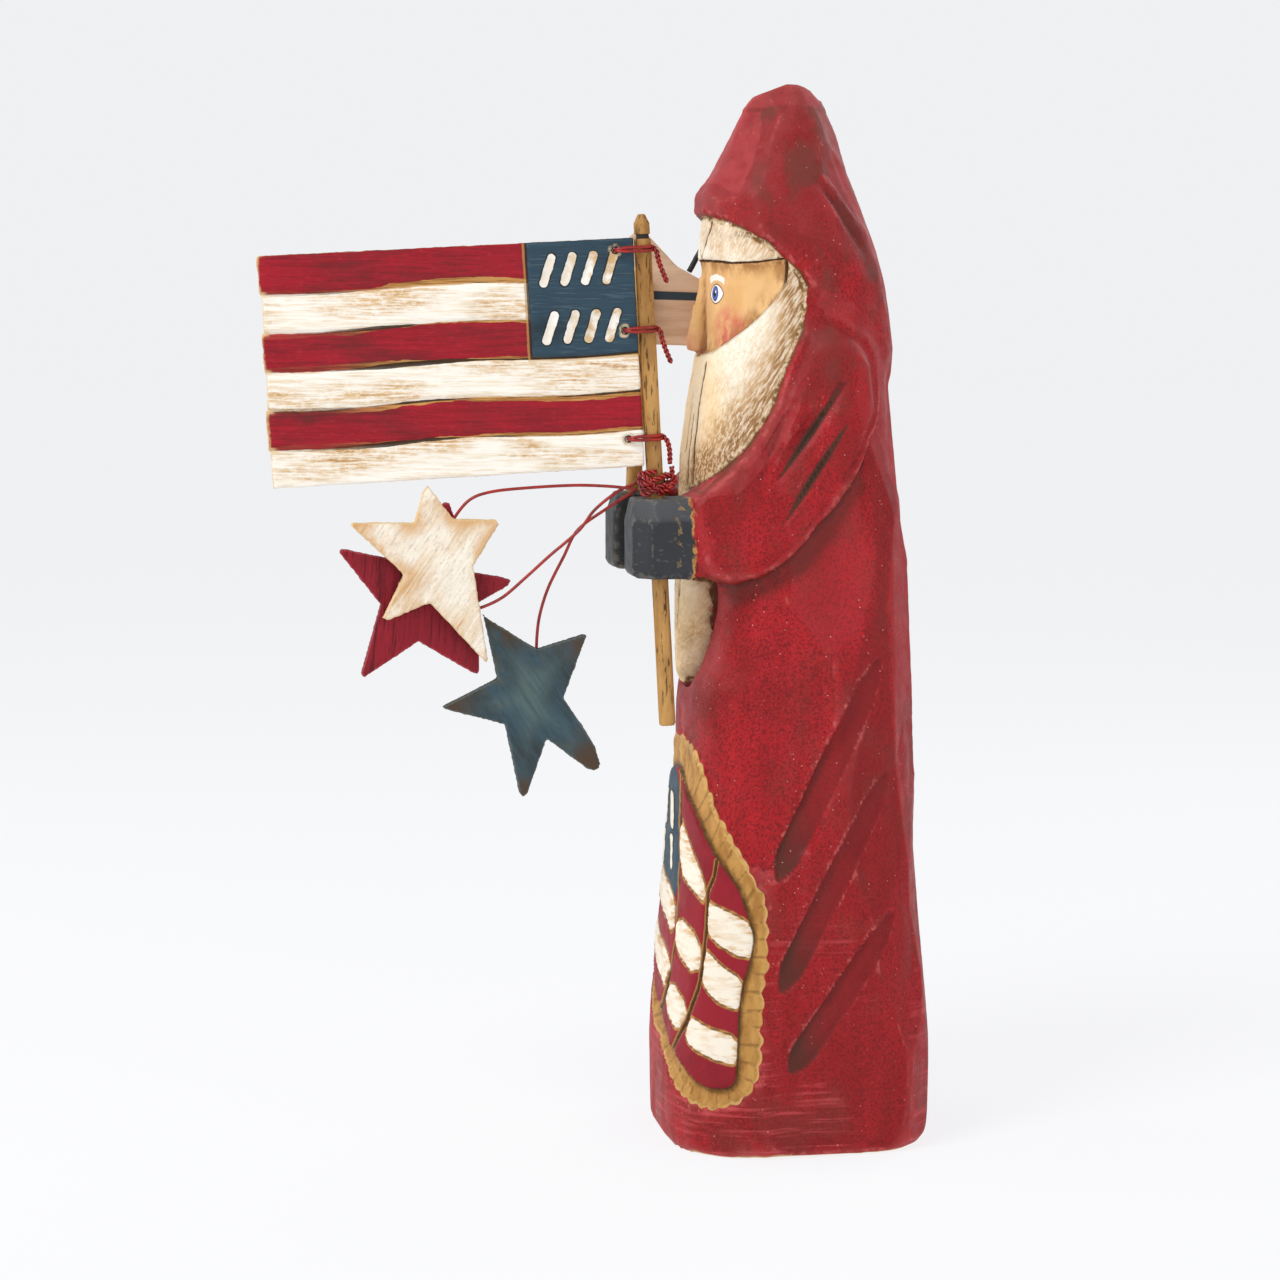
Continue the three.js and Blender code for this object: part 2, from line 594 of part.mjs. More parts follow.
// The flag lies in the plane of the pole: along is the distance from its pole edge, down from its top edge
function flagBoard() {
  const stripe = flagHeight / stripeCount;
  const raggedEnds = [0.4, -0.5, 0.3, -0.3, 0.6, -0.2];
  const corners = [[0, 0]];
  raggedEnds.forEach((ragged, i) => {
    corners.push([flagLength + ragged, i * stripe], [flagLength + ragged * 0.6, (i + 1) * stripe]);
  });
  corners.push([0, flagHeight]);
  const board = new THREE.ExtrudeGeometry(
    new THREE.Shape(corners.map(([along, down]) => new THREE.Vector2(along, down))),
    { depth: boardThickness, bevelEnabled: false },
  );
  board.translate(0, 0, -boardThickness / 2);
  let solid = toSolid(board);
  const station = (along, down, face) => ({
    at: new THREE.Vector3(along, down, (face * boardThickness) / 2),
    out: new THREE.Vector3(0, 0, face),
    size: 1,
  });
  const overrun = 3;
  for (const face of [1, -1]) {
    for (let i = 1; i < stripeCount; i += 1) {
      const from = i < cantonStripes ? cantonLength : -overrun;
      const stations = Array.from({ length: stripeVee.steps + 1 }, (_, s) => {
        const along = from + ((flagLength + overrun - from) * s) / stripeVee.steps;
        return station(along, i * stripe + waveAt(along), face);
      });
      solid = solid.subtract(toolSweep(stations, stripeVee));
    }
    const cantonEdge = [station(cantonLength, -overrun, face), station(cantonLength, cantonStripes * stripe, face)];
    solid = solid.subtract(toolSweep(cantonEdge, stripeVee));
  }
  for (let row = 0; row < cantonRows; row += 1) {
    for (let i = 0; i < cantonStrokes; i += 1) {
      const along = ((i + 1.2) * cantonLength) / (cantonStrokes + 1.2);
      const down = ((row + 0.5) * cantonStripes * stripe) / cantonRows;
      const ends = [-1, 1].map((end) => station(along + end * strokeLean, down + (end * strokeLength) / 2, 1));
      solid = solid.subtract(toolSweep(ends, cantonGouge));
    }
  }
  for (const { along, down } of tieHoles) {
    const hole = new THREE.CylinderGeometry(wireRadius + wireHoleClearance, wireRadius + wireHoleClearance,
      boardThickness * 2, 10);
    hole.rotateX(Math.PI / 2);
    hole.translate(along, down, 0);
    solid = solid.subtract(toSolid(hole));
  }
  return toGeometry(solid);
}

// A round tube along a curve, from its radius at each share of the curve's length
function tube(curve, steps, radiusAt) {
  const sides = 5;
  const { normals, binormals } = curve.computeFrenetFrames(steps);
  return loft(Array.from({ length: steps + 1 }, (_, i) => {
    const at = curve.getPointAt(i / steps);
    const radius = radiusAt(i / steps);
    return Array.from({ length: sides }, (_unused, side) => {
      const angle = (side * 2 * Math.PI) / sides;
      return at.clone()
        .addScaledVector(normals[i], radius * Math.cos(angle))
        .addScaledVector(binormals[i], radius * Math.sin(angle));
    });
  }));
}

// A tie is one wire: up its twisted tail, round the pole, through the flag's hole and back round the pole
function tieWire({ along }) {
  const hole = -stickRadius - touchGap - along;
  const bend = wireDiameter;
  const besideHole = boardThickness / 2 + touchGap + bend;
  const around = (degrees, rise = 0, away = 0) => {
    const turn = THREE.MathUtils.degToRad(degrees);
    const radius = besideStick + away;
    return new THREE.Vector3(radius * Math.sin(turn), radius * Math.cos(turn), rise);
  };
  const mirrored = (points) => points.toReversed().map((p) => new THREE.Vector3(-p.x, p.y, p.z));
  const tail = [
    new THREE.Vector3(besideStick * 0.7, besideStick + tailReach, -tailDrop),
    new THREE.Vector3(besideStick * 0.7, besideStick + tailReach * 0.45, -tailDrop * 0.6),
    new THREE.Vector3(besideStick * 0.55, besideStick + tailReach * 0.15, -tailDrop * 0.25),
    around(34, -wireDiameter, touchGap),
  ];
  const roundPole = [around(54), around(72), around(90)];
  const roundHole = [
    new THREE.Vector3(besideHole, hole + bend, 0),
    new THREE.Vector3(besideHole - bend * 0.3, hole + bend * 0.3, 0),
    new THREE.Vector3(besideHole - bend, hole, 0),
  ];
  const path = [...tail, ...roundPole, ...roundHole, ...mirrored(roundHole), ...mirrored(roundPole), around(-8)];
  const curve = new THREE.CatmullRomCurve3(path, false, 'centripetal');
  const length = curve.getLength();
  return tube(curve, tieSteps, (share) => {
    const intoLoop = THREE.MathUtils.clamp((share * length - tailDrop * 0.75) / (tailDrop * 0.15), 0, 1);
    return THREE.MathUtils.lerp(strandPair / 2, wireRadius, intoLoop);
  });
}

// The twisted pair that is wound loosely round the pole above the mitten
function wireBundle() {
  const rise = strandPair + touchGap;
  const points = Array.from({ length: bundleSteps + 1 }, (_, i) => {
    const turn = (i / bundleSteps) * bundleTurns * 2 * Math.PI;
    const radius = stickRadius + touchGap + strandPair / 2 + bundleSway * Math.sin(turn * 0.5) ** 2;
    return new THREE.Vector3(radius * Math.cos(turn), radius * Math.sin(turn), (rise * turn) / (2 * Math.PI));
  });
  return tube(new THREE.CatmullRomCurve3(points), bundleSteps, () => strandPair / 2);
}

// A star cut from thin board, flat in the YZ plane
function starBoard({ corners }) {
  const shape = new THREE.Shape(corners.map(([y, z]) => new THREE.Vector2(y, z)));
  const board = new THREE.ExtrudeGeometry(shape, { depth: starThickness, bevelEnabled: false });
  board.translate(0, 0, -starThickness / 2);
  return board;
}

// A star's wire, which ends flat against the star's face, behind it or in front of it
function starWire({ x, behind, wire }) {
  const against = x + (behind ? -1 : 1) * (starThickness / 2 + touchGap + wireRadius);
  const points = wire.map(([y, z, across = against]) => new THREE.Vector3(across, y, z));
  return tube(new THREE.CatmullRomCurve3(points), starWireSteps, () => wireRadius);
}

// The bare board on the far staff: a plain house front with kicked eaves and a peak
function houseBoard() {
  const [eaveShare, kickShare, kickOutShare] = [0.57, 0.68, 0.6];
  const halfWidth = houseWidth / 2;
  const eave = houseHeight * eaveShare;
  const kick = houseHeight * kickShare;
  const kickOut = halfWidth * kickOutShare;
  const shape = new THREE.Shape([
    [-halfWidth, 0], [halfWidth, 0], [halfWidth, eave], [kickOut, kick], [0, houseHeight],
    [-kickOut, kick], [-halfWidth, eave],
  ].map(([y, z]) => new THREE.Vector2(y, z)));
  const board = new THREE.ExtrudeGeometry(shape, { depth: boardThickness, bevelEnabled: false });
  board.translate(0, 0, -boardThickness / 2);
  return { board, roofPoint: (halfWidth + kickOut) / 2, roofRise: (eave + kick) / 2,
    roofLean: Math.atan2(kick - eave, halfWidth - kickOut) };
}

const robeRed = new THREE.MeshStandardMaterial({ color: 0xa02a33, roughness: 0.6, metalness: 0 });
const bareStick = new THREE.MeshStandardMaterial({ color: 0xb98e52, roughness: 0.7, metalness: 0 });
const flagPaint = new THREE.MeshStandardMaterial({ color: 0xe9dcc6, roughness: 0.6, metalness: 0 });
const bareBoard = new THREE.MeshStandardMaterial({ color: 0xd7bda3, roughness: 0.75, metalness: 0 });
const blackPaint = new THREE.MeshStandardMaterial({ color: 0x1d1d1f, roughness: 0.6, metalness: 0 });
const redWire = new THREE.MeshStandardMaterial({ color: 0xb02a24, roughness: 0.35, metalness: 0.2 });
const starPaint = {
  white: new THREE.MeshStandardMaterial({ color: 0xe8dac2, roughness: 0.6, metalness: 0 }),
  red: new THREE.MeshStandardMaterial({ color: 0x7c1f2b, roughness: 0.6, metalness: 0 }),
  blue: new THREE.MeshStandardMaterial({ color: 0x3a505c, roughness: 0.6, metalness: 0 }),
};

// What is drawn as along, down and thickness lies outwards from the pole, down it and across it
const outwardDownAcross = new THREE.Matrix4().makeBasis(
  new THREE.Vector3(0, -1, 0),
  new THREE.Vector3(0, 0, -1),
  new THREE.Vector3(1, 0, 0),
);
// What is drawn flat with a thickness stands in the YZ plane
const standingAcross = new THREE.Matrix4().makeBasis(
  new THREE.Vector3(0, 1, 0),
  new THREE.Vector3(0, 0, 1),
  new THREE.Vector3(1, 0, 0),
);

const group = new THREE.Group();

function addMesh(parent, name, geometry, material, place = [0, 0, 0]) {
  const mesh = new THREE.Mesh(geometry, material);
  mesh.name = name;
  mesh.position.set(...place);
  parent.add(mesh);
  return mesh;
}

addMesh(group, 'carved_figure', carvedFigure(), robeRed);

const poleGroup = new THREE.Group();
poleGroup.position.set(gripX, gripY, gripZ);
poleGroup.rotation.x = poleLean;
group.add(poleGroup);
addMesh(poleGroup, 'flag_pole', flagPole(), bareStick, [0, 0, -poleBelowGrip]);
addMesh(poleGroup, 'flag_board', flagBoard(), flagPaint, [0, -stickRadius - touchGap, flagTop])
  .quaternion.setFromRotationMatrix(outwardDownAcross);
for (const hole of tieHoles) {
  addMesh(poleGroup, `tie_wire_${hole.name}`, tieWire(hole), redWire, [0, 0, flagTop - hole.down]);
}
addMesh(poleGroup, 'wire_bundle', wireBundle(), redWire, [0, 0, mittenTopAboveGrip + bundleAboveMitten]);

const hangingGroup = new THREE.Group();
hangingGroup.position.set(gripX, gripY, gripZ);
group.add(hangingGroup);
for (const star of stars) {
  addMesh(hangingGroup, `star_${star.name}`, starBoard(star), starPaint[star.name], [star.x, 0, 0])
    .quaternion.setFromRotationMatrix(standingAcross);
  addMesh(hangingGroup, `star_wire_${star.name}`, starWire(star), redWire);
}

const staffGroup = new THREE.Group();
staffGroup.position.set(-gripX, farGripY, gripZ);
staffGroup.rotation.x = farStaffLean;
group.add(staffGroup);
addMesh(staffGroup, 'far_staff', farStaff(), bareStick, [0, 0, -farStaffBelowGrip]);

const house = houseBoard();
const houseX = -(stickRadius + touchGap + boardThickness / 2);
addMesh(staffGroup, 'house_board', house.board, bareBoard, [houseX, 0, houseAboveGrip])
  .quaternion.setFromRotationMatrix(standingAcross);
const peg = new THREE.CylinderGeometry(pegDiameter / 2, pegDiameter / 2, pegLength, 10);
peg.rotateX(Math.PI / 2);
peg.translate(0, 0, pegLength / 2 + touchGap);
peg.rotateX(-house.roofLean);
addMesh(staffGroup, 'black_peg', peg, blackPaint, [houseX, house.roofPoint, houseAboveGrip + house.roofRise]);

export default group;
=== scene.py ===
"""The looks of a carved wooden santa with a flag, wired stars and a bare board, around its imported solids.

The figure faces -Y and its left side is +X. Lengths in the tables below are millimetres, but the studio's are
metres, as Blender's are. Materials read places in metres and stored distances in millimetres.
"""

import itertools
import math
from types import SimpleNamespace

import bmesh
import bpy
import numpy as np
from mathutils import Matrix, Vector


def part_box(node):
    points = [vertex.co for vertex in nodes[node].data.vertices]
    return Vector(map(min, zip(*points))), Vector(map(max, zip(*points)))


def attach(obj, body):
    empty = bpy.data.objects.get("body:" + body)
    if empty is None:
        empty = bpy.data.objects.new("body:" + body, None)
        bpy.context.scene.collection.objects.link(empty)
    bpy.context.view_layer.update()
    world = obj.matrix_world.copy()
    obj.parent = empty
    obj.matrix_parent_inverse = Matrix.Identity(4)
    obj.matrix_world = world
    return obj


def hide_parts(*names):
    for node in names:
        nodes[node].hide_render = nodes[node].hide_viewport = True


MM = 0.001
FIGURE = "carved_figure"

# How fine the meshes are: the edge of their faces, the sides of round wires and sticks, and how far from the
# middle the flat underside is one face
VOXELS = {"figure": 1.0, "flag": 0.56, "star": 0.42, "board": 0.5, "peg": 0.22}
WIRE_SIDES = 10
STICK_SIDES = 48
UNDERSIDE_REACH = 30

# The photograph's view: the camera's place round the object, its aim and its lens
VIEW_AZIMUTH = 80.5
VIEW_DISTANCE = 900
VIEW_RISE = 94
AIM_ASIDE = -43
AIM_HEIGHT = 144.5
LENS = 86.9
SENSOR = 36

# The studio: the tones of walls, ceiling and floor as linear light, where the walls fade into the ceiling,
# and the lamps with their place, size and power in watts
WALL_TONE = (0.87, 0.875, 0.89)
CEILING_TONE = (0.2, 0.2, 0.21)
FLOOR_TONE = (0.2, 0.2, 0.2)
FLOOR_GLOW = 0.911
FLOOR_ROUGHNESS = 0.9
FLOOR_REACH = 8
WALL_TOP = (0.3, 0.75)
LAMP_AIM = (0, -0.03, 0.15)
LAMPS = {
    "front": ((-0.5, -1.1, 0.35), 0.6, 3.0),
    "key": ((0.45, -0.6, 1.0), 0.4, 6.1),
    "fill": ((0.9, 0.5, 0.45), 0.7, 1.4),
    "back": ((-0.5, 0.7, 0.7), 0.6, 1.6),
}

# The sticks, as in the solids
GRIP = (18.5, -41.6, 176.25)
FAR_GRIP = (-18.5, -42.8, 176.25)
POLE_LEAN = math.radians(3)
FAR_LEAN = math.radians(-2)
STICK_RADIUS = 2.4
GAP = 0.3
MITTEN_RISE = 11.25
POLE_BELOW = 53.5
POLE_LENGTH = 144
FAR_BELOW = 9
FAR_LENGTH = 84
WIRE = 0.45
STRAND = WIRE * 0.88

# The bare board's lower edge above its grip, and the painted band's middle above that edge
BOARD_LOW = 54
BAND_RISE = 14.4

# The flag: its size, stripes, canton, strokes and holes, measured outwards from the pole and down
FLAG_LENGTH = 104.5
FLAG_HEIGHT = 64
FLAG_TOP = 84.25
STRIPE = FLAG_HEIGHT / 6
CANTON = (30.6, 3 * STRIPE)
WAVE = 0.5
HOLES = {"top": (5.4, 3.4), "middle": (3.8, 25.8), "bottom": (4.4, 56)}
STROKE_ROWS = 2
STROKE_COLUMNS = 4
STROKE_LENGTH = 7
STROKE_LEAN = 1.3

# Sections of the robe and the hair: height, front, back, half width, squareness
ROBE = [
    (0, -36.9, 37.6, 36.6, 3.2), (26, -39, 39.5, 38.8, 3.2), (50, -38, 38.6, 38, 3.1), (76, -35.6, 37, 37, 3),
    (107, -33.3, 35.6, 36, 3), (133, -32.4, 34.2, 35.2, 2.9), (152, -26.6, 33.4, 35, 2.8),
    (187, -25.4, 32.2, 35, 2.7), (212, -24, 28.4, 33.5, 2.6), (240, -15, 26, 27, 2.4), (250, -8, 20, 18, 2.2),
]
TONGUE = [
    (134.5, -33, 0, 2.4, 2.4), (139, -33.4, 0, 5.6, 2.8), (150, -33.4, 0, 8.6, 3.2), (166, -33, 0, 10.4, 3.2),
    (178, -32.2, 6, 17, 2.9), (188, -31.7, 16, 27, 2.3),
]

# Outlines seen from the side: Y and Z
FACE_OPENING = [
    (-60, 267.3), (-26, 267.3), (-22, 265.5), (-16.4, 262.4), (-11.4, 259.4), (-7, 254.6), (-2.5, 251),
    (-0.5, 247), (-0.8, 241), (-2.2, 234.5), (-4.9, 228), (-8, 221), (-10.4, 214), (-13.5, 208),
    (-17.8, 201.5), (-24.3, 194.4), (-31.5, 188.3), (-60, 188.3),
]
FACE_WINDOW = [
    (-60, 255), (-27, 254.2), (-21, 253.2), (-14.4, 253.4), (-6.4, 254.4), (-6.8, 248), (-9.6, 243),
    (-13.2, 238.8), (-16.8, 235.2), (-21.2, 231.4), (-25, 228), (-28, 226.4), (-60, 226.4),
]
SKIRT_STROKES = [
    [(19.4, 142), (14.3, 131), (4.3, 110), (-4.2, 92.4), (-10.8, 80)],
    [(23, 109.6), (10.3, 86.3), (0.3, 67.5), (-9.4, 48)],
    [(25, 69.2), (13.2, 52.9), (3.1, 38.8), (-7, 25)],
]
SLEEVE_STROKES = [[(8.5, 220.5), (-0.7, 206.7), (-10.3, 193)], [(9.2, 209.4), (-0.1, 195.4), (-9.4, 181)]]
HOOD_STROKE = [(-1.6, 281), (5.8, 274.4), (12, 266), (16.4, 257.6), (20, 250.4)]
UNDER_SLEEVE = [(12.4, 191.4), (5, 180.6), (-4, 169.6), (-12, 164), (-21, 160.4)]

# Outlines on the skirt: turn in degrees from the front, and Z
PANEL_OUTER = [
    (5, 118), (24, 115), (37, 104.6), (46, 97), (53, 94), (59, 89.5), (64, 87), (71, 79), (76, 75),
    (77, 64), (78, 58), (76, 46), (77, 38), (77, 27), (72, 18.5), (64, 16), (50, 13.8), (27, 16.3),
    (14, 21.9), (2, 28.5), (-10, 35), (-26, 44), (-38, 54), (-46, 68), (-46, 84), (-36, 98), (-24, 108),
    (-8, 117),
]
PANEL_INNER = [
    (1, 110), (10, 103), (28, 96), (38, 90), (47, 85.3), (54, 82), (62, 77.3), (67, 70.4), (71, 65), (71, 60),
    (69, 54), (67, 50), (66, 43), (66, 38), (66, 28), (65, 21), (52, 20), (42, 20.6), (26, 25.9), (13, 29),
    (2, 36), (-10, 44), (-22, 51), (-33, 60), (-38, 70), (-38, 82), (-30, 93), (-16, 103),
]
PANEL_CANTON = [(-14, 104), (-2, 110), (3, 104), (8, 94), (12, 78), (8, 71), (-4, 76), (-15, 78)]
PANEL_WHITES = [
    [(42, 73.5), (46, 73), (66, 69.5), (72, 65), (73, 60), (69, 57.6), (47, 62.6), (42, 66)],
    [(43, 60), (46, 59), (52, 56.6), (69, 51.6), (67, 43.4), (58, 44), (44, 48.6), (41, 53)],
    [(34, 40), (37, 39.6), (48, 37.8), (67, 35.8), (66, 28), (59, 28), (33, 31.6), (30, 35)],
    [(8, 96), (20, 89.6), (38, 79.8), (40, 72.6), (33, 74.4), (12, 80)],
    [(14, 68), (39, 62.8), (40, 51), (12, 58.5)],
    [(12, 49), (33, 42.6), (24, 33.6), (5, 39.5)],
    [(-16, 78), (-4, 76), (9, 71), (10, 60), (-4, 66), (-17, 69)],
    [(-17, 62), (-8, 59.5), (11, 53), (6, 43), (-6, 50.5), (-17, 54)],
    [(-38, 91), (-15, 90), (-15, 82), (-38, 83)],
    [(-38, 75), (-15, 73), (-15, 65), (-37, 67)],
    [(-31, 58), (-16, 57), (-18, 49), (-24, 52)],
]
PANEL_FOLDS = [
    [(-1, 114), (3, 110), (8, 94), (12, 75), (13.5, 61), (10, 50), (4, 42), (0, 36)],
    [(46, 85), (45, 80.5), (41, 76), (42, 66), (41, 54), (39, 48), (30, 38), (17, 29)],
    [(-14, 106), (-15, 86), (-15, 68), (-17, 50)],
]
PANEL_BARS = [[(-8, 100), (-6, 91)], [(-1, 100), (1, 91)], [(-8, 88), (-6, 79.5)], [(1, 88), (3, 79.5)]]

# The length of one degree on the skirt, and the spacing of the scallops and of the marks on the band
DEGREE = 0.68
SCALLOP = 5.2
BAND_MARK = 2.9

# Thin lines cut on the front of the beard and the hair: X and Z, the first ones mirrored
SIDE_LINES = [
    [(9.2, 225), (9.6, 212), (9.9, 200), (10.5, 190), (10.8, 180)],
    [(0.3, 254.4), (3.8, 258.4), (7.2, 263), (8.8, 267)],
]
BEARD_LINES = [
    [(2.5, 216), (3.4, 208), (2.8, 200)],
    [(-4, 222), (-4.6, 208), (-4, 190)],
    [(5, 186), (4.6, 170), (2, 150)],
    [(0, 178), (-1.4, 165), (-1, 152)],
    [(-7, 200), (-6.6, 186), (-6, 172)],
    [(6.6, 210), (6.8, 198), (6.2, 188)],
]

# Places on the hood that the knife's broad flat cuts go through: X, Y, Z, mirrored where X isn't 0
HOOD_CUTS = [
    (9.5, -6, 299.5), (24, -3, 274), (15, -21, 284), (0, -6, 303.6), (0, 14, 288), (0, 25, 262),
    (14, 12, 286), (21, 18, 262), (26, 20, 243), (20, -23, 267), (29.4, 2, 250),
]

# The palest of those cuts on the hood's sides, painted paler partly as worn paint and partly as painted light
# on facets that face the light: Y and Z. Lower down they begin this far from the middle
SHOULDER_FROM = 17
PALE_CUTS = [
    [(-20, 296), (-16.2, 297.2), (-9.2, 297.8), (-2.9, 297.6), (5.7, 296.6), (8, 300), (2, 308), (-14, 308)],
    [(-20, 297), (-16.4, 296.4), (-11, 296.4), (-12, 288.3), (-14.8, 279.8), (-18.7, 272.5), (-24.7, 276.1),
     (-32, 282)],
    [(5.2, 296), (6.7, 290.1), (10.4, 281), (16.8, 266.9), (20.4, 256), (26, 249), (40, 249), (30, 296)],
    [(2.6, 246), (10, 243), (18, 238), (24, 231.8), (24, 228), (15, 231.6), (9, 237.4), (4.6, 237.6),
     (1.6, 241.6)],
]

# The face: the left eye and cheek, which the right ones mirror, and the nose
EYE = (10.4, -23.9, 244.6)
CHEEK = (17, -20.5, 234.5)
NOSE_TIP = (0, -28.2, 230)
NOSE_LOW = 228.4

# The stars' wires from the pole's grip, as in the solids
STAR_WIRES = {
    "white": [(1.6, -6.4, 13.7), (1.7, -13.9, 14.6), (1.8, -24, 15), (1.6, -37.3, 14.4), (1.4, -47.2, 13.4),
              (1.25, -53.1, 11.4), (1.25, -57.2, 7), (1.25, -59.4, 2.6)],
    "red": [(0, -6.2, 15.4), (0.2, -11.6, 13), (0.7, -18.1, 8), (0.9, -22.7, 2.2), (0.9, -30.9, -4.7),
            (0.8, -37.4, -10.5), (0.75, -43.9, -16), (0.75, -49.6, -18.8), (0.75, -54, -19.8)],
    "blue": [(-1.6, -6.2, 13.2), (-1.4, -14.7, 8), (-1.2, -22.7, 2.2), (-1.6, -26.6, -5.2),
             (-2.4, -30.9, -14), (-3.2, -33.2, -21.6), (-3.75, -34, -28), (-3.75, -34.2, -35)],
}

# The stars' outlines from the pole's grip, as in the solids: Y and Z
STAR_OUTLINES = {
    "white": [(-66.8, 13.6), (-65.4, 15.7), (-63.1, 12.8), (-58.4, 6.2), (-46.3, 5.9), (-45.5, 4.5),
              (-52.7, -7), (-48.8, -33.3), (-49.3, -34.5), (-65.1, -17.3), (-76.9, -22), (-78.2, -21.3),
              (-72.3, -9.2), (-85.9, 3.6), (-87.1, 5), (-85.7, 5.5), (-69.2, 5.3)],
    "red": [(-60.2, 10.6), (-58.8, 10.4), (-52, -9.2), (-43.8, -10.6), (-41.6, -11.6), (-42.4, -13.2),
            (-50.9, -17.9), (-50.6, -36.8), (-51.2, -38), (-53, -37.4), (-67.8, -28.5), (-83.1, -38.4),
            (-84, -37.2), (-78.4, -17.9), (-89.8, -3.3), (-89.2, -2.2), (-87.3, -2.4), (-76.8, -4.8)],
    "blue": [(-49.6, -21.2), (-48.4, -22.1), (-34.4, -31), (-21.3, -27.2), (-20, -27.2), (-26.8, -45.1),
             (-21.6, -52.9), (-17.8, -59.3), (-16.3, -64), (-16.8, -65.6), (-18.5, -66.2), (-20.4, -65.5),
             (-31.7, -56.8), (-37.3, -72.4), (-38.8, -73.3), (-39.6, -72), (-43.6, -52.5), (-61.3, -47.5),
             (-61.2, -46.9), (-45.7, -39.3)],
}

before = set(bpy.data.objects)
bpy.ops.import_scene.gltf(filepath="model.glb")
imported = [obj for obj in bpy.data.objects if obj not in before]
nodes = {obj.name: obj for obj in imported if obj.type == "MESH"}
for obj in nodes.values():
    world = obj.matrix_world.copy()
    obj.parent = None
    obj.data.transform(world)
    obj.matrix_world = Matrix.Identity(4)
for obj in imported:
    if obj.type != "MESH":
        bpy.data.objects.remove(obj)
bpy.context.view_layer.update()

# A signed distance where its shape can't be, and the highest level at which the robe's sections are read
OFF = -20.0
ROBE_TOP = 249


# Numbers on points

def lattice_values(key, seed):
    """A random whole number below 65536 for each corner of a lattice."""
    mixed = key[:, 0] * 73856093 ^ key[:, 1] * 19349663 ^ key[:, 2] * 83492791 ^ seed * 2654435761
    mixed = (mixed ^ (mixed >> 13)) * 1274126177
    return (mixed ^ (mixed >> 16)) & 0xFFFF


def lattice_noise(points, cell, seed):
    """Smooth random values from -1 to 1 at points, with one random value for each corner of a lattice."""
    scaled = points / cell
    base = np.floor(scaled).astype(np.int64)
    part = scaled - base
    part = part * part * (3 - 2 * part)
    total = np.zeros(len(points))
    for corner in itertools.product((0, 1), repeat=3):
        step = np.array(corner)
        weight = np.prod(np.where(step == 1, part, 1 - part), axis=1)
        total += weight * (lattice_values(base + step, seed) / 32767.5 - 1)
    return total


def facet_field(points, cell, seed):
    """For knife facets: the squared distance to the nearest seed of a jittered lattice, in cells."""
    scaled = points / np.array(cell)
    base = np.floor(scaled).astype(np.int64)
    nearest = np.full(len(points), 9.0)
    for step in itertools.product((-1, 0, 1), repeat=3):
        key = base + np.array(step)
        away = np.zeros(len(points))
        for axis in range(3):
            jitter = lattice_values(key, seed + axis) / 65535
            away += (key[:, axis] + jitter - scaled[:, axis]) ** 2
        nearest = np.minimum(nearest, away)
    return nearest


def line_field(u, v, corners, closed=False):
    """Distance to a line of corners, the length along it at the nearest place, its length, what is inside."""
    points = np.array(corners, float)
    ends = np.roll(points, -1, axis=0) if closed else points[1:]
    starts = points if closed else points[:-1]
    best = np.full(u.shape, 1e9)
    place = np.zeros(u.shape)
    inside = np.zeros(u.shape, bool)
    walked = 0.0
    for (au, av), (bu, bv) in zip(starts, ends):
        du, dv = bu - au, bv - av
        length = math.hypot(du, dv)
        share = np.clip(((u - au) * du + (v - av) * dv) / length**2, 0, 1)
        away = np.hypot(u - au - share * du, v - av - share * dv)
        nearer = away < best
        best = np.where(nearer, away, best)
        place = np.where(nearer, walked + share * length, place)
        walked += length
        if dv:
            inside ^= ((av > v) != (bv > v)) & (u < au + (v - av) * du / dv)
    return best, place, walked, inside


def gap_to(u, v, lines):
    """Distance to the nearest of several lines."""
    return np.min([line_field(u, v, line)[0] for line in lines], axis=0)


def inside_field(u, v, corners):
    """Signed distance to a closed outline, positive inside it."""
    away, _, _, inside = line_field(u, v, corners, closed=True)
    return np.where(inside, away, -away)


def inside_any(u, v, outlines):
    return np.max([inside_field(u, v, outline) for outline in outlines], axis=0)


def rounded(corners, closed=True, rounds=2):
    """An outline or a line with its corners cut off, again and again."""
    points = [tuple(p) for p in corners]
    for _ in range(rounds):
        following = points[1:] + points[:1] if closed else points[1:]
        softer = []
        for (au, av), (bu, bv) in zip(points, following):
            softer.append((au * 0.75 + bu * 0.25, av * 0.75 + bv * 0.25))
            softer.append((au * 0.25 + bu * 0.75, av * 0.25 + bv * 0.75))
        points = softer if closed else [points[0], *softer, points[-1]]
    return points


def fade(value, low, high):
    """0 below low, 1 above high and smooth between; low may be above high."""
    share = np.clip((value - low) / (high - low), 0, 1)
    return share * share * (3 - 2 * share)


def section(form, z):
    rows = np.array(form)
    return [np.interp(z, rows[:, 0], rows[:, i]) for i in range(1, 5)]


def turn_on(form, x, y, z):
    """The turn of each point round a form, in degrees from its front, towards the figure's left."""
    front, back, half_width, squareness = section(form, z)
    aside = x / half_width
    ahead = ((front + back) / 2 - y) / ((back - front) / 2)
    power = squareness / 2
    across = np.sign(aside) * np.abs(aside) ** power
    return np.degrees(np.arctan2(across, np.sign(ahead) * np.abs(ahead) ** power))


def outside_form(form, x, y, z):
    """About how far each point is outside a form, in millimetres."""
    front, back, half_width, squareness = section(form, z)
    aside = np.abs(x) / half_width
    ahead = np.abs((front + back) / 2 - y) / ((back - front) / 2)
    return ((aside**squareness + ahead**squareness) ** (1 / squareness) - 1) * half_width


# Meshes

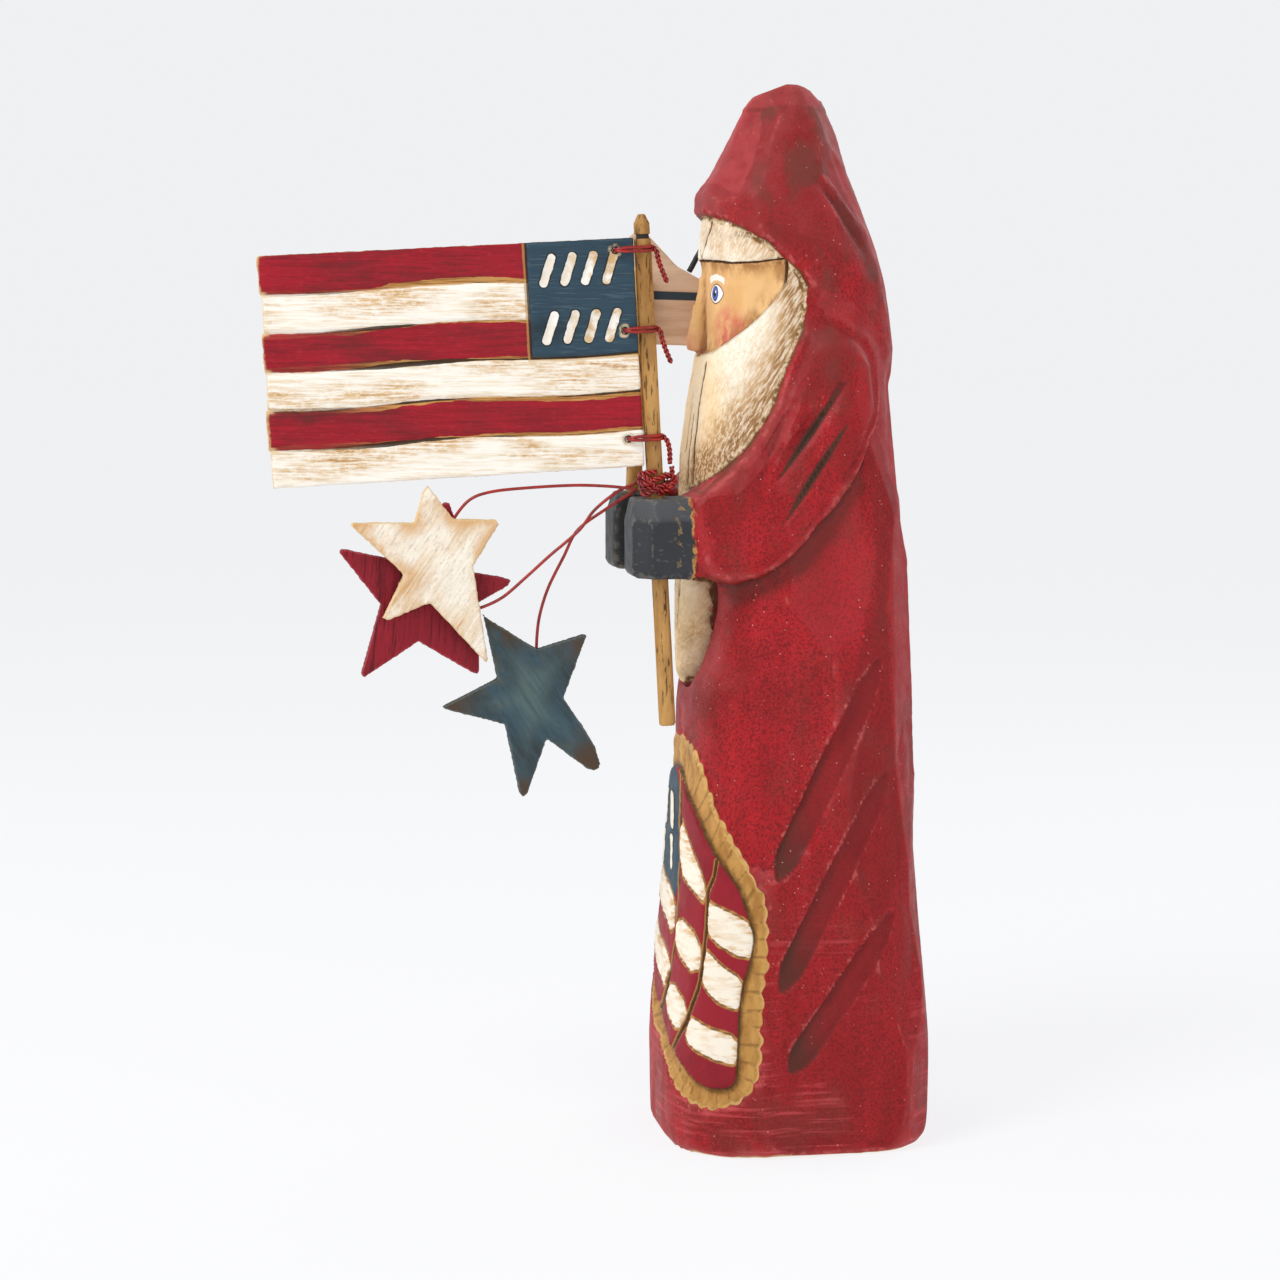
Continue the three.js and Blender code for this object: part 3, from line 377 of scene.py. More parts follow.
def add_piece(name, mesh, material, replaced):
    piece = bpy.data.objects.new(name, mesh)
    bpy.context.scene.collection.objects.link(piece)
    mesh.materials.clear()
    mesh.materials.append(material)
    mesh.polygons.foreach_set("use_smooth", [True] * len(mesh.polygons))
    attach(piece, "root")
    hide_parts(replaced)


def even_mesh(node, voxel):
    """The mesh of a CAD node, made again with small even faces."""
    source = bpy.data.objects.new("source", nodes[node].data.copy())
    bpy.context.scene.collection.objects.link(source)
    remesh = source.modifiers.new("even", "REMESH")
    remesh.mode = "VOXEL"
    remesh.voxel_size = voxel * MM
    made = bpy.data.meshes.new_from_object(source.evaluated_get(bpy.context.evaluated_depsgraph_get()))
    bpy.data.objects.remove(source)
    return made


def merge_underside(mesh, reach):
    """Joins the small faces in the middle of the flat underside, where nothing is carved, into one."""
    shape = bmesh.new()
    shape.from_mesh(mesh)
    middle = [face for face in shape.faces
              if all(v.co.z < 0.05 * MM and max(abs(v.co.x), abs(v.co.y)) < reach * MM for v in face.verts)]
    bmesh.ops.dissolve_faces(shape, faces=middle)
    shape.to_mesh(mesh)
    shape.free()


def read_vertices(mesh, name):
    flat = np.zeros(len(mesh.vertices) * 3)
    mesh.vertices.foreach_get(name, flat)
    return flat.reshape(-1, 3)


def corners_of(mesh):
    return read_vertices(mesh, "co") / MM


def normals_of(mesh):
    return read_vertices(mesh, "normal")


def set_corners(mesh, corners, node):
    """Writes corners back, none of them outside the CAD node's own box."""
    low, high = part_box(node)
    kept = np.clip(corners, np.array(low) / MM, np.array(high) / MM)
    mesh.vertices.foreach_set("co", (kept * MM).ravel())
    mesh.update()


def edge_ends(mesh):
    ends = np.zeros(len(mesh.edges) * 2, np.int64)
    mesh.edges.foreach_get("vertices", ends)
    return ends.reshape(-1, 2)


def pull(values, ends):
    """For each corner, the step from its value or place to the mean of its neighbours'."""
    count = len(values)
    first, second = ends.T
    near = np.bincount(ends.ravel(), minlength=count)
    means = np.empty_like(values)
    for column, mean in zip(values.reshape(count, -1).T, means.reshape(count, -1).T):
        total = np.bincount(first, column[second], count) + np.bincount(second, column[first], count)
        mean[:] = total / near
    return means - values


def soften(corners, ends, rounds, keep_above):
    """Evens out the small kinks between facets and keeps each cut edge."""
    for _ in range(rounds):
        step = pull(corners, ends)
        size = np.linalg.norm(step, axis=1)
        corners = corners + step * (0.6 * fade(size, keep_above, keep_above * 0.5))[:, None]
    return corners


def blurred(values, ends, rounds):
    """Values averaged with those of their neighbours, again and again."""
    for _ in range(rounds):
        values = values + pull(values, ends)
    return values


def knife_cuts(corners, facing, spots, planes, depths, reach):
    """How far each corner moves out to lie on the lowest of the flat cuts near it, and which cut that is."""
    near_count = min(11, len(spots) - 1)
    batch = 4000
    shift = np.zeros(len(corners))
    lowest = np.zeros(len(corners), int)
    for start in range(0, len(corners), batch):
        part = slice(start, start + batch)
        away = (((corners[part, None] - spots) / reach) ** 2).sum(2)
        near = np.argpartition(away, near_count, axis=1)[:, :near_count]
        plane = planes[near]
        step = ((spots[near] - corners[part, None]) * plane).sum(2) - depths[near]
        agree = np.maximum((facing[part, None] * plane).sum(2), 0.3)
        step = step / agree + 2.5 * np.maximum(np.take_along_axis(away, near, 1) - 0.8, 0)
        shift[part] = step.min(1)
        lowest[part] = np.take_along_axis(near, step.argmin(1)[:, None], 1)[:, 0]
    return np.clip(shift, -1.5, 0.4), lowest


def calmed(values, ends, rounds, most):
    """Values without the sudden steps between neighbours; bends smaller than most are kept."""
    for _ in range(rounds):
        step = pull(values, ends)
        values = values + step * fade(np.abs(step), most * 0.6, most)
    return values


def filled(values, known, ends, rounds):
    """Values where they are known, and elsewhere what their neighbours pass on."""
    share = known.astype(float)
    passed = values * share
    for _ in range(rounds):
        share = np.where(known, 1.0, blurred(share, ends, 1))
        passed = np.where(known, values, blurred(passed, ends, 1))
    return passed / np.maximum(share, 0.05) * np.minimum(share * 3, 1)


def scattered(corners, allowed, spacing, seed):
    """One corner at random from each box of a lattice that holds any."""
    order = np.random.default_rng(seed).permutation(np.flatnonzero(allowed))
    cells = np.floor(corners[order] / np.array(spacing)).astype(np.int64)
    _, first = np.unique(cells, axis=0, return_index=True)
    return order[first]


def hollowness(corners, ends, normals, rounds):
    """How far each corner lies under its neighbourhood's mean: positive in hollows, negative on edges."""
    smooth = corners.copy()
    for _ in range(rounds):
        smooth += pull(smooth, ends) * 0.8
    return np.einsum("ij,ij->i", smooth - corners, normals)


def store(mesh, **fields):
    for name, values in fields.items():
        layer = mesh.attributes.new(name, "FLOAT", "POINT")
        layer.data.foreach_set("value", np.ascontiguousarray(values, np.float32))


def unit(vector):
    return vector / np.linalg.norm(vector)


def lengths_along(points):
    """The length of a path up to each of its points."""
    return np.concatenate([[0], np.cumsum(np.linalg.norm(np.diff(points, axis=0), axis=1))])


def frames_along(points):
    """A direction across the path and one across both, at each point, without twist."""
    ahead = np.gradient(points, axis=0)
    ahead /= np.linalg.norm(ahead, axis=1)[:, None]
    across = [unit(np.cross(ahead[0], (0, 0, 1) if abs(ahead[0][2]) < 0.9 else (1, 0, 0)))]
    for direction in ahead[1:]:
        across.append(unit(across[-1] - direction * np.dot(across[-1], direction)))
    across = np.array(across)
    return across, np.cross(ahead, across)


def smooth_path(points, spacing):
    """A smooth curve through points, with a point at every spacing."""
    points = np.array(points, float)
    padded = np.vstack([2 * points[0] - points[1], points, 2 * points[-1] - points[-2]])
    dense = []
    for i in range(1, len(padded) - 2):
        a, b, c, d = padded[i - 1:i + 3]
        for t in np.linspace(0, 1, 24, endpoint=False):
            curve = 2 * b + (c - a) * t + (2 * a - 5 * b + 4 * c - d) * t**2 + (3 * b - a - 3 * c + d) * t**3
            dense.append(0.5 * curve)
    dense = np.array(dense + [points[-1]])
    walked = lengths_along(dense)
    even = np.linspace(0, walked[-1], max(4, int(walked[-1] / spacing)))
    return np.stack([np.interp(even, walked, dense[:, i]) for i in range(3)], axis=1)


def ring_faces(rings, sides):
    """The faces between rings of corners that follow one another."""
    faces = []
    for r, i in itertools.product(range(rings - 1), range(sides)):
        j = (i + 1) % sides
        faces.append((r * sides + i, r * sides + j, (r + 1) * sides + j, (r + 1) * sides + i))
    return faces


def tube(points, radius, sides=WIRE_SIDES):
    """Corners and faces of a round tube with domed ends."""
    points = np.asarray(points, float)
    across, upward = frames_along(points)
    angles = np.arange(sides) * 2 * math.pi / sides
    ring = np.cos(angles)[None, :, None] * across[:, None] + np.sin(angles)[None, :, None] * upward[:, None]
    corners = (points[:, None] + ring * radius).reshape(-1, 3)
    faces = ring_faces(len(points), sides)
    first = points[0] - unit(points[1] - points[0]) * radius * 0.5
    last = points[-1] + unit(points[-1] - points[-2]) * radius * 0.5
    count = len(corners)
    end = count - sides
    for i in range(sides):
        j = (i + 1) % sides
        faces.append((count, j, i))
        faces.append((count + 1, end + i, end + j))
    return np.vstack([corners, first, last]), faces


def joined(parts):
    """One mesh from several sets of corners and faces."""
    corners, faces = [], []
    total = 0
    for part_corners, part_faces in parts:
        corners.append(part_corners)
        faces += [tuple(i + total for i in face) for face in part_faces]
        total += len(part_corners)
    mesh = bpy.data.meshes.new("joined")
    mesh.from_pydata((np.vstack(corners) * MM).tolist(), [], faces)
    mesh.update()
    return mesh


def wire_mesh(singles, pairs=()):
    """Tubes for single wires and twisted pairs, and how deep each point lies between a pair's two wires, for
    painted shade there.
    """
    parts = [tube(strand, WIRE) for strand in singles]
    between = [np.zeros(len(corners)) for corners, _ in parts]
    for pair in pairs:
        middle = np.repeat((pair[0] + pair[1]) / 2, WIRE_SIDES, axis=0)
        for strand in pair:
            corners, faces = tube(strand, STRAND)
            away = np.linalg.norm(corners[:-2] - middle, axis=1)
            between.append(np.append(fade(away, WIRE * 1.5, WIRE * 0.95), (0, 0)))
            parts.append((corners, faces))
    mesh = joined(parts)
    store(mesh, between=np.concatenate(between))
    return mesh


def twisted(points, pitch=3.0, spacing=0.33):
    """The middle lines of two strands wound round each other along a path."""
    path = smooth_path(points, spacing)
    across, upward = frames_along(path)
    strands = []
    for start in (0, math.pi):
        angle = (start + lengths_along(path) * 2 * math.pi / pitch)[:, None]
        strands.append(path + (across * np.cos(angle) + upward * np.sin(angle)) * WIRE * 0.92)
    return strands


def from_grip(points, grip, lean):
    """Points given from a grip, along its leaning stick, in the object's own place."""
    x, y, z = np.array(points, float).T
    out = y * math.cos(lean) - z * math.sin(lean)
    up = y * math.sin(lean) + z * math.cos(lean)
    return np.stack([x, out, up], 1) + np.array(grip)


def to_grip(points, grip, lean):
    x, y, z = (points - np.array(grip)).T
    return x, y * math.cos(lean) + z * math.sin(lean), z * math.cos(lean) - y * math.sin(lean)


# Materials

def linear(paint):
    """A colour given as a screen shows it, as Blender's nodes take it."""
    return tuple(((c / 255 + 0.055) / 1.055) ** 2.4 if c > 10 else c / 255 / 12.92 for c in paint)


class Shade:
    """One material, with a short call for each kind of node that it uses. Its colours are screen colours."""

    def __init__(self, name, specular):
        self.material = bpy.data.materials.new(name)
        self.material.use_nodes = True
        self.tree = self.material.node_tree
        self.tree.nodes.clear()
        self.surface = self.tree.nodes.new("ShaderNodeBsdfPrincipled")
        self.surface.inputs["Specular IOR Level"].default_value = specular
        output = self.tree.nodes.new("ShaderNodeOutputMaterial")
        self.tree.links.new(self.surface.outputs[0], output.inputs[0])
        self.place = self.tree.nodes.new("ShaderNodeTexCoord").outputs["Object"]

    def put(self, socket, value):
        if isinstance(value, bpy.types.NodeSocket):
            self.tree.links.new(value, socket)
        elif isinstance(value, tuple) and len(socket.default_value) == 4:
            socket.default_value = (*linear(value), 1)
        else:
            socket.default_value = value

    def node(self, kind, *values, **settings):
        """A node with its settings, and with values in its first sockets."""
        made = self.tree.nodes.new("ShaderNode" + kind)
        for name, setting in settings.items():
            setattr(made, name, setting)
        for socket, value in zip(made.inputs, values):
            self.put(socket, value)
        return made

    def field(self, name):
        return self.node("Attribute", attribute_name=name).outputs["Fac"]

    def math(self, operation, first, second=0.0):
        return self.node("Math", first, second, operation=operation).outputs[0]

    def uneven(self, name, wobble, amount):
        """A stored field whose edges wander by a wobble."""
        return self.math("ADD", self.field(name), self.math("MULTIPLY", wobble, amount))

    def fade(self, value, low, high, start=0.0, end=1.0):
        if low > high:
            low, high, start, end = high, low, end, start
        return self.node("MapRange", value, low, high, start, end, interpolation_type="SMOOTHSTEP").outputs[0]

    def noise(self, scale, detail=4, stretch=(1, 1, 1), turn=(0, 0, 0), roughness=0.6):
        mapping = self.node("Mapping", self.place, vector_type="TEXTURE")
        mapping.inputs["Scale"].default_value = tuple(1 / share for share in stretch)
        mapping.inputs["Rotation"].default_value = turn
        made = self.node("TexNoise", mapping.outputs[0])
        for name, value in (("Scale", scale), ("Detail", detail), ("Roughness", roughness)):
            made.inputs[name].default_value = value
        return made.outputs["Fac"]

    def specks(self, scale, size):
        """Scattered dots: 1 inside a dot."""
        cells = self.node("TexVoronoi", self.place)
        cells.inputs["Scale"].default_value = scale
        chosen = self.fade(self.split(cells.outputs["Color"], 0), 0.62, 0.66)
        return self.both(self.fade(cells.outputs["Distance"], size, size * 0.6), chosen)

    def split(self, vector, axis):
        return self.node("SeparateXYZ", vector).outputs[axis]

    def distance(self, point, mirrored=True):
        """Millimetres to a point, or to the nearer one of it and its mirror image on the other side."""
        place = self.place
        if mirrored:
            halved = self.node("VectorMath", place, operation="ABSOLUTE").outputs[0]
            place = self.node("VectorMath", halved, (1, -1, 1), operation="MULTIPLY").outputs[0]
        away = self.node("VectorMath", place, tuple(c * MM for c in point), operation="DISTANCE")
        return self.math("MULTIPLY", away.outputs["Value"], 1 / MM)

    def mix(self, share, first, second):
        made = self.node("Mix", share, data_type="RGBA")
        self.put(made.inputs[6], first)
        self.put(made.inputs[7], second)
        return made.outputs[2]

    def both(self, *shares):
        total = shares[0]
        for share in shares[1:]:
            total = self.math("MULTIPLY", total, share)
        return total

    def over(self, colour, paint, *shares):
        """A colour with a paint over it, as much of it as the shares leave."""
        return self.mix(self.both(*shares), colour, paint)

    def finish(self, colour, roughness, height, depth):
        self.put(self.surface.inputs["Base Color"], colour)
        self.put(self.surface.inputs["Roughness"], roughness)
        bump = self.node("Bump")
        bump.inputs["Strength"].default_value = 1.0
        bump.inputs["Distance"].default_value = depth * MM
        self.put(bump.inputs["Height"], height)
        self.put(self.surface.inputs["Normal"], bump.outputs[0])
        return self.material


RED = (154, 26, 30)
RED_LIT = (176, 32, 38)
RED_DEEP = (118, 27, 28)
RED_WORN = (196, 92, 90)
GLAZE_AND_SHADE_TONE = (84, 42, 32)
CREAM = (243, 232, 212)
SLATE = (46, 66, 80)
CHARCOAL = (52, 54, 57)
SKIN = (230, 184, 126)
BLUSH = (204, 74, 78)


def robe_grain(s, mottle, height_up):
    """The red paint: streaks, dark and pale grain, and the strip beside the beard painted paler as a
    highlight.
    """
    robe = s.mix(s.fade(s.noise(70, 5, stretch=(1.6, 1.6, 0.35)), 0.35, 0.7), RED, RED_LIT)
    robe = s.over(robe, RED_DEEP, s.fade(mottle, 0.5, 0.68), 0.55)
    robe = s.over(robe, (96, 20, 25), s.fade(s.noise(1300, 3), 0.47, 0.6), 0.62)
    grit = s.fade(s.noise(1250, 4, roughness=0.75), 0.53, 0.66)
    robe = s.over(robe, (186, 60, 62), grit, s.fade(mottle, 0.35, 0.6, 0.15, 0.5))
    # a painted highlight on the sleeve's facet beside the beard
    beside_beard = s.fade(s.field("opening"), -6.6, -5.9)
    strip = s.both(beside_beard, s.fade(height_up, 0.224, 0.214), s.fade(height_up, 0.18, 0.19))
    return s.over(robe, (184, 70, 72), strip, s.fade(s.noise(300, 5), 0.3, 0.62, 0.3, 0.8), 0.8)


def robe_facets(s, robe, ragged, height_up):
    """What tells one knife cut from the next: tops worn and painted paler as lit from above, their own tones,
    pale cuts on the hood, worn and lit, with painted shade between them, and glaze.
    """
    # tops facing up painted paler: partly worn paint, partly painted light from above
    wear_and_top_light = s.fade(s.noise(260, 5), 0.3, 0.65, 0.35, 1.0)
    robe = s.over(robe, (192, 80, 84), s.fade(s.field("upward"), 0.14, 0.7), wear_and_top_light, 0.78)
    robe = s.over(robe, (166, 50, 54), s.fade(s.field("tone"), 0.1, 1.0), 0.5)
    robe = s.over(robe, (122, 28, 30), s.fade(s.field("tone"), -0.1, -1.0), 0.55)
    # painted shade on the hood between its pale cuts
    shade_between_cuts = s.fade(s.field("pale"), 0.2, -0.4)
    robe = s.over(robe, (118, 40, 38), s.fade(height_up, 0.25, 0.262), shade_between_cuts, 0.35)
    # the pale cuts: partly worn paint, partly painted light on facets that face the light
    pale = s.uneven("pale", ragged, 2.5)
    lit_worn_share = s.both(s.fade(pale, -0.4, 0.6), s.fade(s.noise(220, 6), 0.3, 0.64, 0.1, 0.75))
    robe = s.over(robe, (170, 66, 68), lit_worn_share, s.fade(height_up, 0.225, 0.27, 0.35, 1.0))
    glazed = s.both(s.fade(s.noise(85, 6, stretch=(1, 1, 0.6)), 0.46, 0.6), s.fade(s.noise(30, 3), 0.4, 0.56))
    glazed = s.both(glazed, s.fade(height_up, 0.19, 0.25, 0.35, 0.95))
    return s.over(robe, (110, 56, 48), glazed, s.fade(pale, 0.4, -0.4, 0.4, 1.0), 0.8)


def robe_wear(s, robe, mottle, height_up):
    """Pale worn edges, painted shade in the hollows, and the scratches near the hem."""
    hollow = s.field("hollow")
    broad_edges = s.fade(s.field("broad"), -0.35, -1.1)
    robe = s.over(robe, RED_WORN, broad_edges, s.fade(s.noise(1300, 3), 0.3, 0.6), 0.25)
    robe = s.over(robe, RED_WORN, s.fade(hollow, -0.4, -0.9), s.fade(s.noise(300, 4), 0.44, 0.62), 0.55)
    # painted shade in the hollows
    robe = s.over(robe, (84, 22, 26), s.fade(hollow, 0.4, 1.1), 0.6)
    scratches = s.both(s.fade(s.noise(150, 5, stretch=(0.3, 0.3, 5)), 0.5, 0.66), s.fade(mottle, 0.42, 0.58))
    return s.over(robe, (206, 80, 84), s.fade(height_up, 0.11, 0.03, 0.0, 1.0), scratches, 0.5)


def robe_gouges(s, robe, ragged):
    """The gouges with their glaze and painted shade, painted shade in the hood's gouge and under the sleeve,
    the sleeves' slits, the chips at the edges and pale dots of dust.
    """
    robe = s.over(robe, (128, 28, 32), s.fade(s.uneven("gouge", ragged, 0.5), -0.1, 0.3), 0.65)
    stain = s.both(s.field("stain"), s.fade(s.noise(90, 3), 0.28, 0.6, 0.8, 1.0))
    # dark brown: glaze at the gouges' lower ends, and painted shade on their shaded wall, in the hood's gouge
    # and under the sleeve
    robe = s.mix(stain, robe, s.mix(s.fade(s.noise(60, 2), 0.35, 0.7), GLAZE_AND_SHADE_TONE, (78, 46, 38)))
    slit = s.uneven("slit", ragged, 0.15)
    robe = s.over(robe, (84, 46, 34), s.fade(slit, -0.15, 0.15))
    robe = s.over(robe, (42, 28, 22), s.fade(slit, 0.3, 0.6), 0.75)
    robe = s.over(robe, (208, 112, 100), s.field("chips"), s.fade(s.noise(620, 4), 0.55, 0.64), 0.8)
    dots = s.both(s.specks(520, 0.12), s.fade(s.noise(40, 3), 0.36, 0.6, 0.2, 1.0))
    return s.over(robe, (226, 162, 144), dots, 0.85)


def robe_paint(s, ragged):
    height_up = s.split(s.place, 2)
    mottle = s.noise(42, 7)
    robe = robe_grain(s, mottle, height_up)
    robe = robe_facets(s, robe, ragged, height_up)
    robe = robe_wear(s, robe, mottle, height_up)
    return robe_gouges(s, robe, ragged)


def hair_paint(s, fur):
    """Cream hair and beard, browner towards the robe and dark in the cuts, painted tan and lighter on the
    front, with painted shade in the hollows and under the hood's brim.
    """
    patches = s.noise(75, 5)
    hair = s.mix(s.fade(fur, 0.42, 0.66, 0.0, 0.4), (248, 240, 222), (226, 200, 156))
    hair = s.over(hair, (222, 186, 134), s.fade(s.noise(900, 4, roughness=0.75), 0.54, 0.62), 0.45)
    # the beard's front: a warmer tan, and painted lighter in place of light falling there
    front_lightened = s.fade(s.split(s.place, 1), -0.021, -0.027)
    front_lightened = s.both(front_lightened, s.fade(s.split(s.place, 2), 0.25, 0.225))
    hair = s.over(hair, (252, 220, 166), front_lightened, s.fade(patches, 0.3, 0.65, 0.5, 1.0), 0.75)
    brown = s.uneven("aged", s.math("SUBTRACT", patches, 0.5), 1.9)
    hair = s.over(hair, (196, 150, 94), s.fade(brown, 0.1, 1.0), s.fade(fur, 0.3, 0.6, 0.35, 1.0), 0.85)
    hair = s.over(hair, (138, 98, 56), s.fade(brown, 0.65, 1.5), s.fade(fur, 0.4, 0.6, 0.1, 0.9))
    # painted shade in the hollows
    hair = s.over(hair, (120, 84, 48), s.fade(s.field("hollow"), 0.22, 0.75))
    hair = s.over(hair, (104, 70, 40), s.fade(s.field("cuts"), 0.85, 0.35), 0.75)
    # painted shade under the hood's brim
    return s.over(hair, (92, 66, 42), s.field("smudge"), s.fade(patches, 0.3, 0.6), s.fade(fur, 0.3, 0.55))


def eye_paint(s, face):
    """Painted eyes: a white almond in a dark line, a blue iris, a pupil with a glint, and a white brow."""
    x, y, z = EYE
    almond = s.math("MAXIMUM", s.distance((x, y, z - 2.0)), s.distance((x, y, z + 2.0)))
    face = s.over(face, (112, 70, 44), s.fade(almond, 5.05, 4.75))
    face = s.over(face, (246, 243, 238), s.fade(almond, 4.65, 4.45))
    iris = s.distance((x - 0.3, y, z + 0.1))
    within = s.fade(almond, 4.65, 4.5)
    rings = (((36, 56, 116), 2.25, 2.1), ((78, 112, 186), 1.9, 1.6), ((18, 20, 30), 1.1, 0.9))
    for tone, edge, core in rings:
        face = s.over(face, tone, within, s.fade(iris, edge, core))
    face = s.over(face, (250, 250, 250), s.fade(s.distance((x + 0.4, y, z + 0.6)), 0.5, 0.38))
    brow_ring = s.math("ABSOLUTE", s.math("SUBTRACT", s.distance((x, y, z - 4.5)), 9.2))
    brow_ends = s.fade(s.distance((x + 0.4, y, z + 4.4)), 4.9, 4.2)
    bristle = s.math("MULTIPLY", s.math("SUBTRACT", s.noise(900, 3), 0.5), 0.8)
    brow = s.fade(s.math("ADD", brow_ring, bristle), 0.95, 0.7)
    return s.over(face, (247, 243, 234), brow, brow_ends)


def face_paint(s, window):
    """Tan skin, grimy at its edges, with red cheeks and nose tip, and painted shade beside and under the nose
    and in the hollows.
    """
    face = s.mix(s.fade(s.noise(120, 5), 0.4, 0.68), SKIN, (220, 170, 108))
    grimy = s.fade(s.noise(260, 5, stretch=(1, 1, 0.5)), 0.4, 0.62)
    face = s.over(face, (150, 98, 50), s.fade(window, 5.5, 0.4), grimy, 0.8)
    rubbed = s.fade(s.noise(520, 3, stretch=(1, 1, 0.55), turn=(-0.7, 0, 0)), 0.3, 0.66, 0.25, 1.0)
    face = s.over(face, BLUSH, s.fade(s.distance(CHEEK), 9.5, 2.5), rubbed, 0.72)
    face = s.over(face, (214, 124, 96), s.fade(s.distance(NOSE_TIP, mirrored=False), 7, 1), 0.6)
    # painted shade beside and under the nose
    face = s.over(face, (158, 98, 58), s.field("nose_edge"), s.fade(grimy, 0.0, 1.0, 0.5, 0.8))
    # painted shade in the hollows
    face = s.over(face, (130, 82, 42), s.fade(s.field("hollow"), 0.45, 1.3), 0.6)
    return eye_paint(s, face)


def mitten_paint(s):
    """Charcoal mittens, painted paler on top as lit from above, worn to bare wood at the cuffs, with painted
    shade in the hollows.
    """
    hollow = s.field("hollow")
    glove = s.mix(s.fade(s.noise(110, 5), 0.4, 0.7), CHARCOAL, (56, 58, 61))
    # tops painted paler, as painted light from above
    glove = s.over(glove, (88, 91, 94), s.fade(s.field("upward"), 0.14, 0.7), 0.75)
    glove = s.over(glove, (104, 106, 108), s.fade(s.noise(240, 5, stretch=(1, 1, 4)), 0.6, 0.68), 0.35)
    edges = s.fade(hollow, -0.35, -0.8)
    glove = s.over(glove, (128, 124, 112), edges, s.fade(s.noise(500, 4), 0.4, 0.6), 0.5)
    beside_cuff = s.fade(s.split(s.place, 1), -0.0405, -0.0345)
    glove = s.over(glove, (172, 140, 92), s.fade(s.noise(360, 4), 0.6, 0.66), beside_cuff, 0.8)
    # painted shade in the hollows
    return s.over(glove, (30, 30, 32), s.fade(hollow, 0.4, 1.2), 0.6)


def band_paint(s, panel, inner, ragged):
    """The bare scalloped band round the skirt's flag, with the marks of the gouge, painted shade in its
    hollows, across its notches and along its inner edge, and painted highlights on its edges and outer rim.
    """
    hollow = s.field("hollow")
    wood = s.noise(300, 5, stretch=(1, 1, 0.4))
    bare = s.mix(s.fade(wood, 0.35, 0.7), (196, 148, 80), (164, 114, 56))
    # painted shade in the hollows, and painted highlights on the edges
    bare = s.over(bare, (120, 82, 40), s.fade(hollow, 0.25, 1.1), 0.45)
    bare = s.over(bare, (216, 176, 108), s.fade(hollow, -0.3, -0.9), 0.6)
    # painted shade across the band at each notch between the scallops
    bare = s.over(bare, (112, 74, 36), s.fade(s.uneven("notch", ragged, 0.5), 0.4, 0.1), 0.55)
    # painted highlight along the outer rim, and painted shade along the inner edge
    bare = s.over(bare, (222, 184, 118), s.fade(panel, 1.3, 0.3), s.fade(wood, 0.4, 0.6), 0.6)
    return s.over(bare, (116, 76, 34), s.fade(inner, -2.6, -0.3), s.fade(wood, 0.3, 0.6), 0.85)


def skirt_flag_paint(s, panel, ragged):
    """The flag carved on the skirt: red ground, slate canton, cream stripes and strokes, and gold seams."""
    inner = s.uneven("inner", ragged, 0.4)
    white = s.uneven("white", ragged, 1.2)
    folds = s.uneven("folds", ragged, 0.7)
    bars = s.uneven("bars", ragged, 0.3)
    mottle = s.noise(42, 7)
    ground = s.mix(s.fade(mottle, 0.45, 0.7), (148, 32, 44), (124, 26, 36))
    slate = s.mix(s.fade(mottle, 0.4, 0.7), SLATE, (62, 84, 98))
    ground = s.over(ground, slate, s.fade(s.uneven("canton", ragged, 0.4), 0.0, 0.3))
    ground = s.over(ground, (186, 138, 76), s.fade(white, -0.9, -0.45), 0.9)
    rubs = s.fade(s.noise(420, 5, stretch=(0.4, 0.4, 1.4)), 0.44, 0.66)
    rubs = s.both(rubs, s.fade(s.field("white"), 3.4, 0.6, 0.3, 1.0))
    ground = s.over(ground, s.mix(rubs, (244, 234, 216), (212, 168, 112)), s.fade(white, 0.0, 0.3))
    ground = s.over(ground, (40, 34, 30), s.fade(bars, 1.15, 0.95))
    ground = s.over(ground, CREAM, s.fade(bars, 0.85, 0.65))
    ground = s.over(ground, (170, 122, 64), s.fade(folds, 1.35, 0.95))
    ground = s.over(ground, (92, 60, 30), s.fade(folds, 0.95, 0.5))
    # painted shade in the hollows
    ground = s.over(ground, (76, 44, 26), s.fade(s.field("hollow"), 0.3, 0.9), 0.6)
    flag = s.mix(s.fade(inner, -0.2, 0.2), band_paint(s, panel, inner, ragged), ground)
    rim = s.fade(s.math("ABSOLUTE", s.math("ADD", inner, 0.1)), 0.55, 0.2)
    return s.over(flag, (84, 56, 28), rim, s.fade(s.noise(180, 3), 0.3, 0.55, 0.3, 0.9))


def seam_paint(s, colour, opening, ragged):
    """The dark and pale lines where the robe, the hair and the face meet."""
    line = s.math("ABSOLUTE", s.math("SUBTRACT", s.field("window"), 0.1))
    line = s.math("ADD", line, s.math("MULTIPLY", ragged, 0.5))
    colour = s.over(colour, (70, 44, 22), s.fade(line, 0.42, 0.2), s.fade(opening, 0.2, 0.6), s.field("line"))
    edge = s.fade(s.math("ABSOLUTE", s.math("SUBTRACT", s.field("opening"), 0.35)), 0.5, 0.15)
    return s.over(colour, (98, 62, 36), edge, s.fade(s.noise(200, 3), 0.35, 0.6), 0.8)


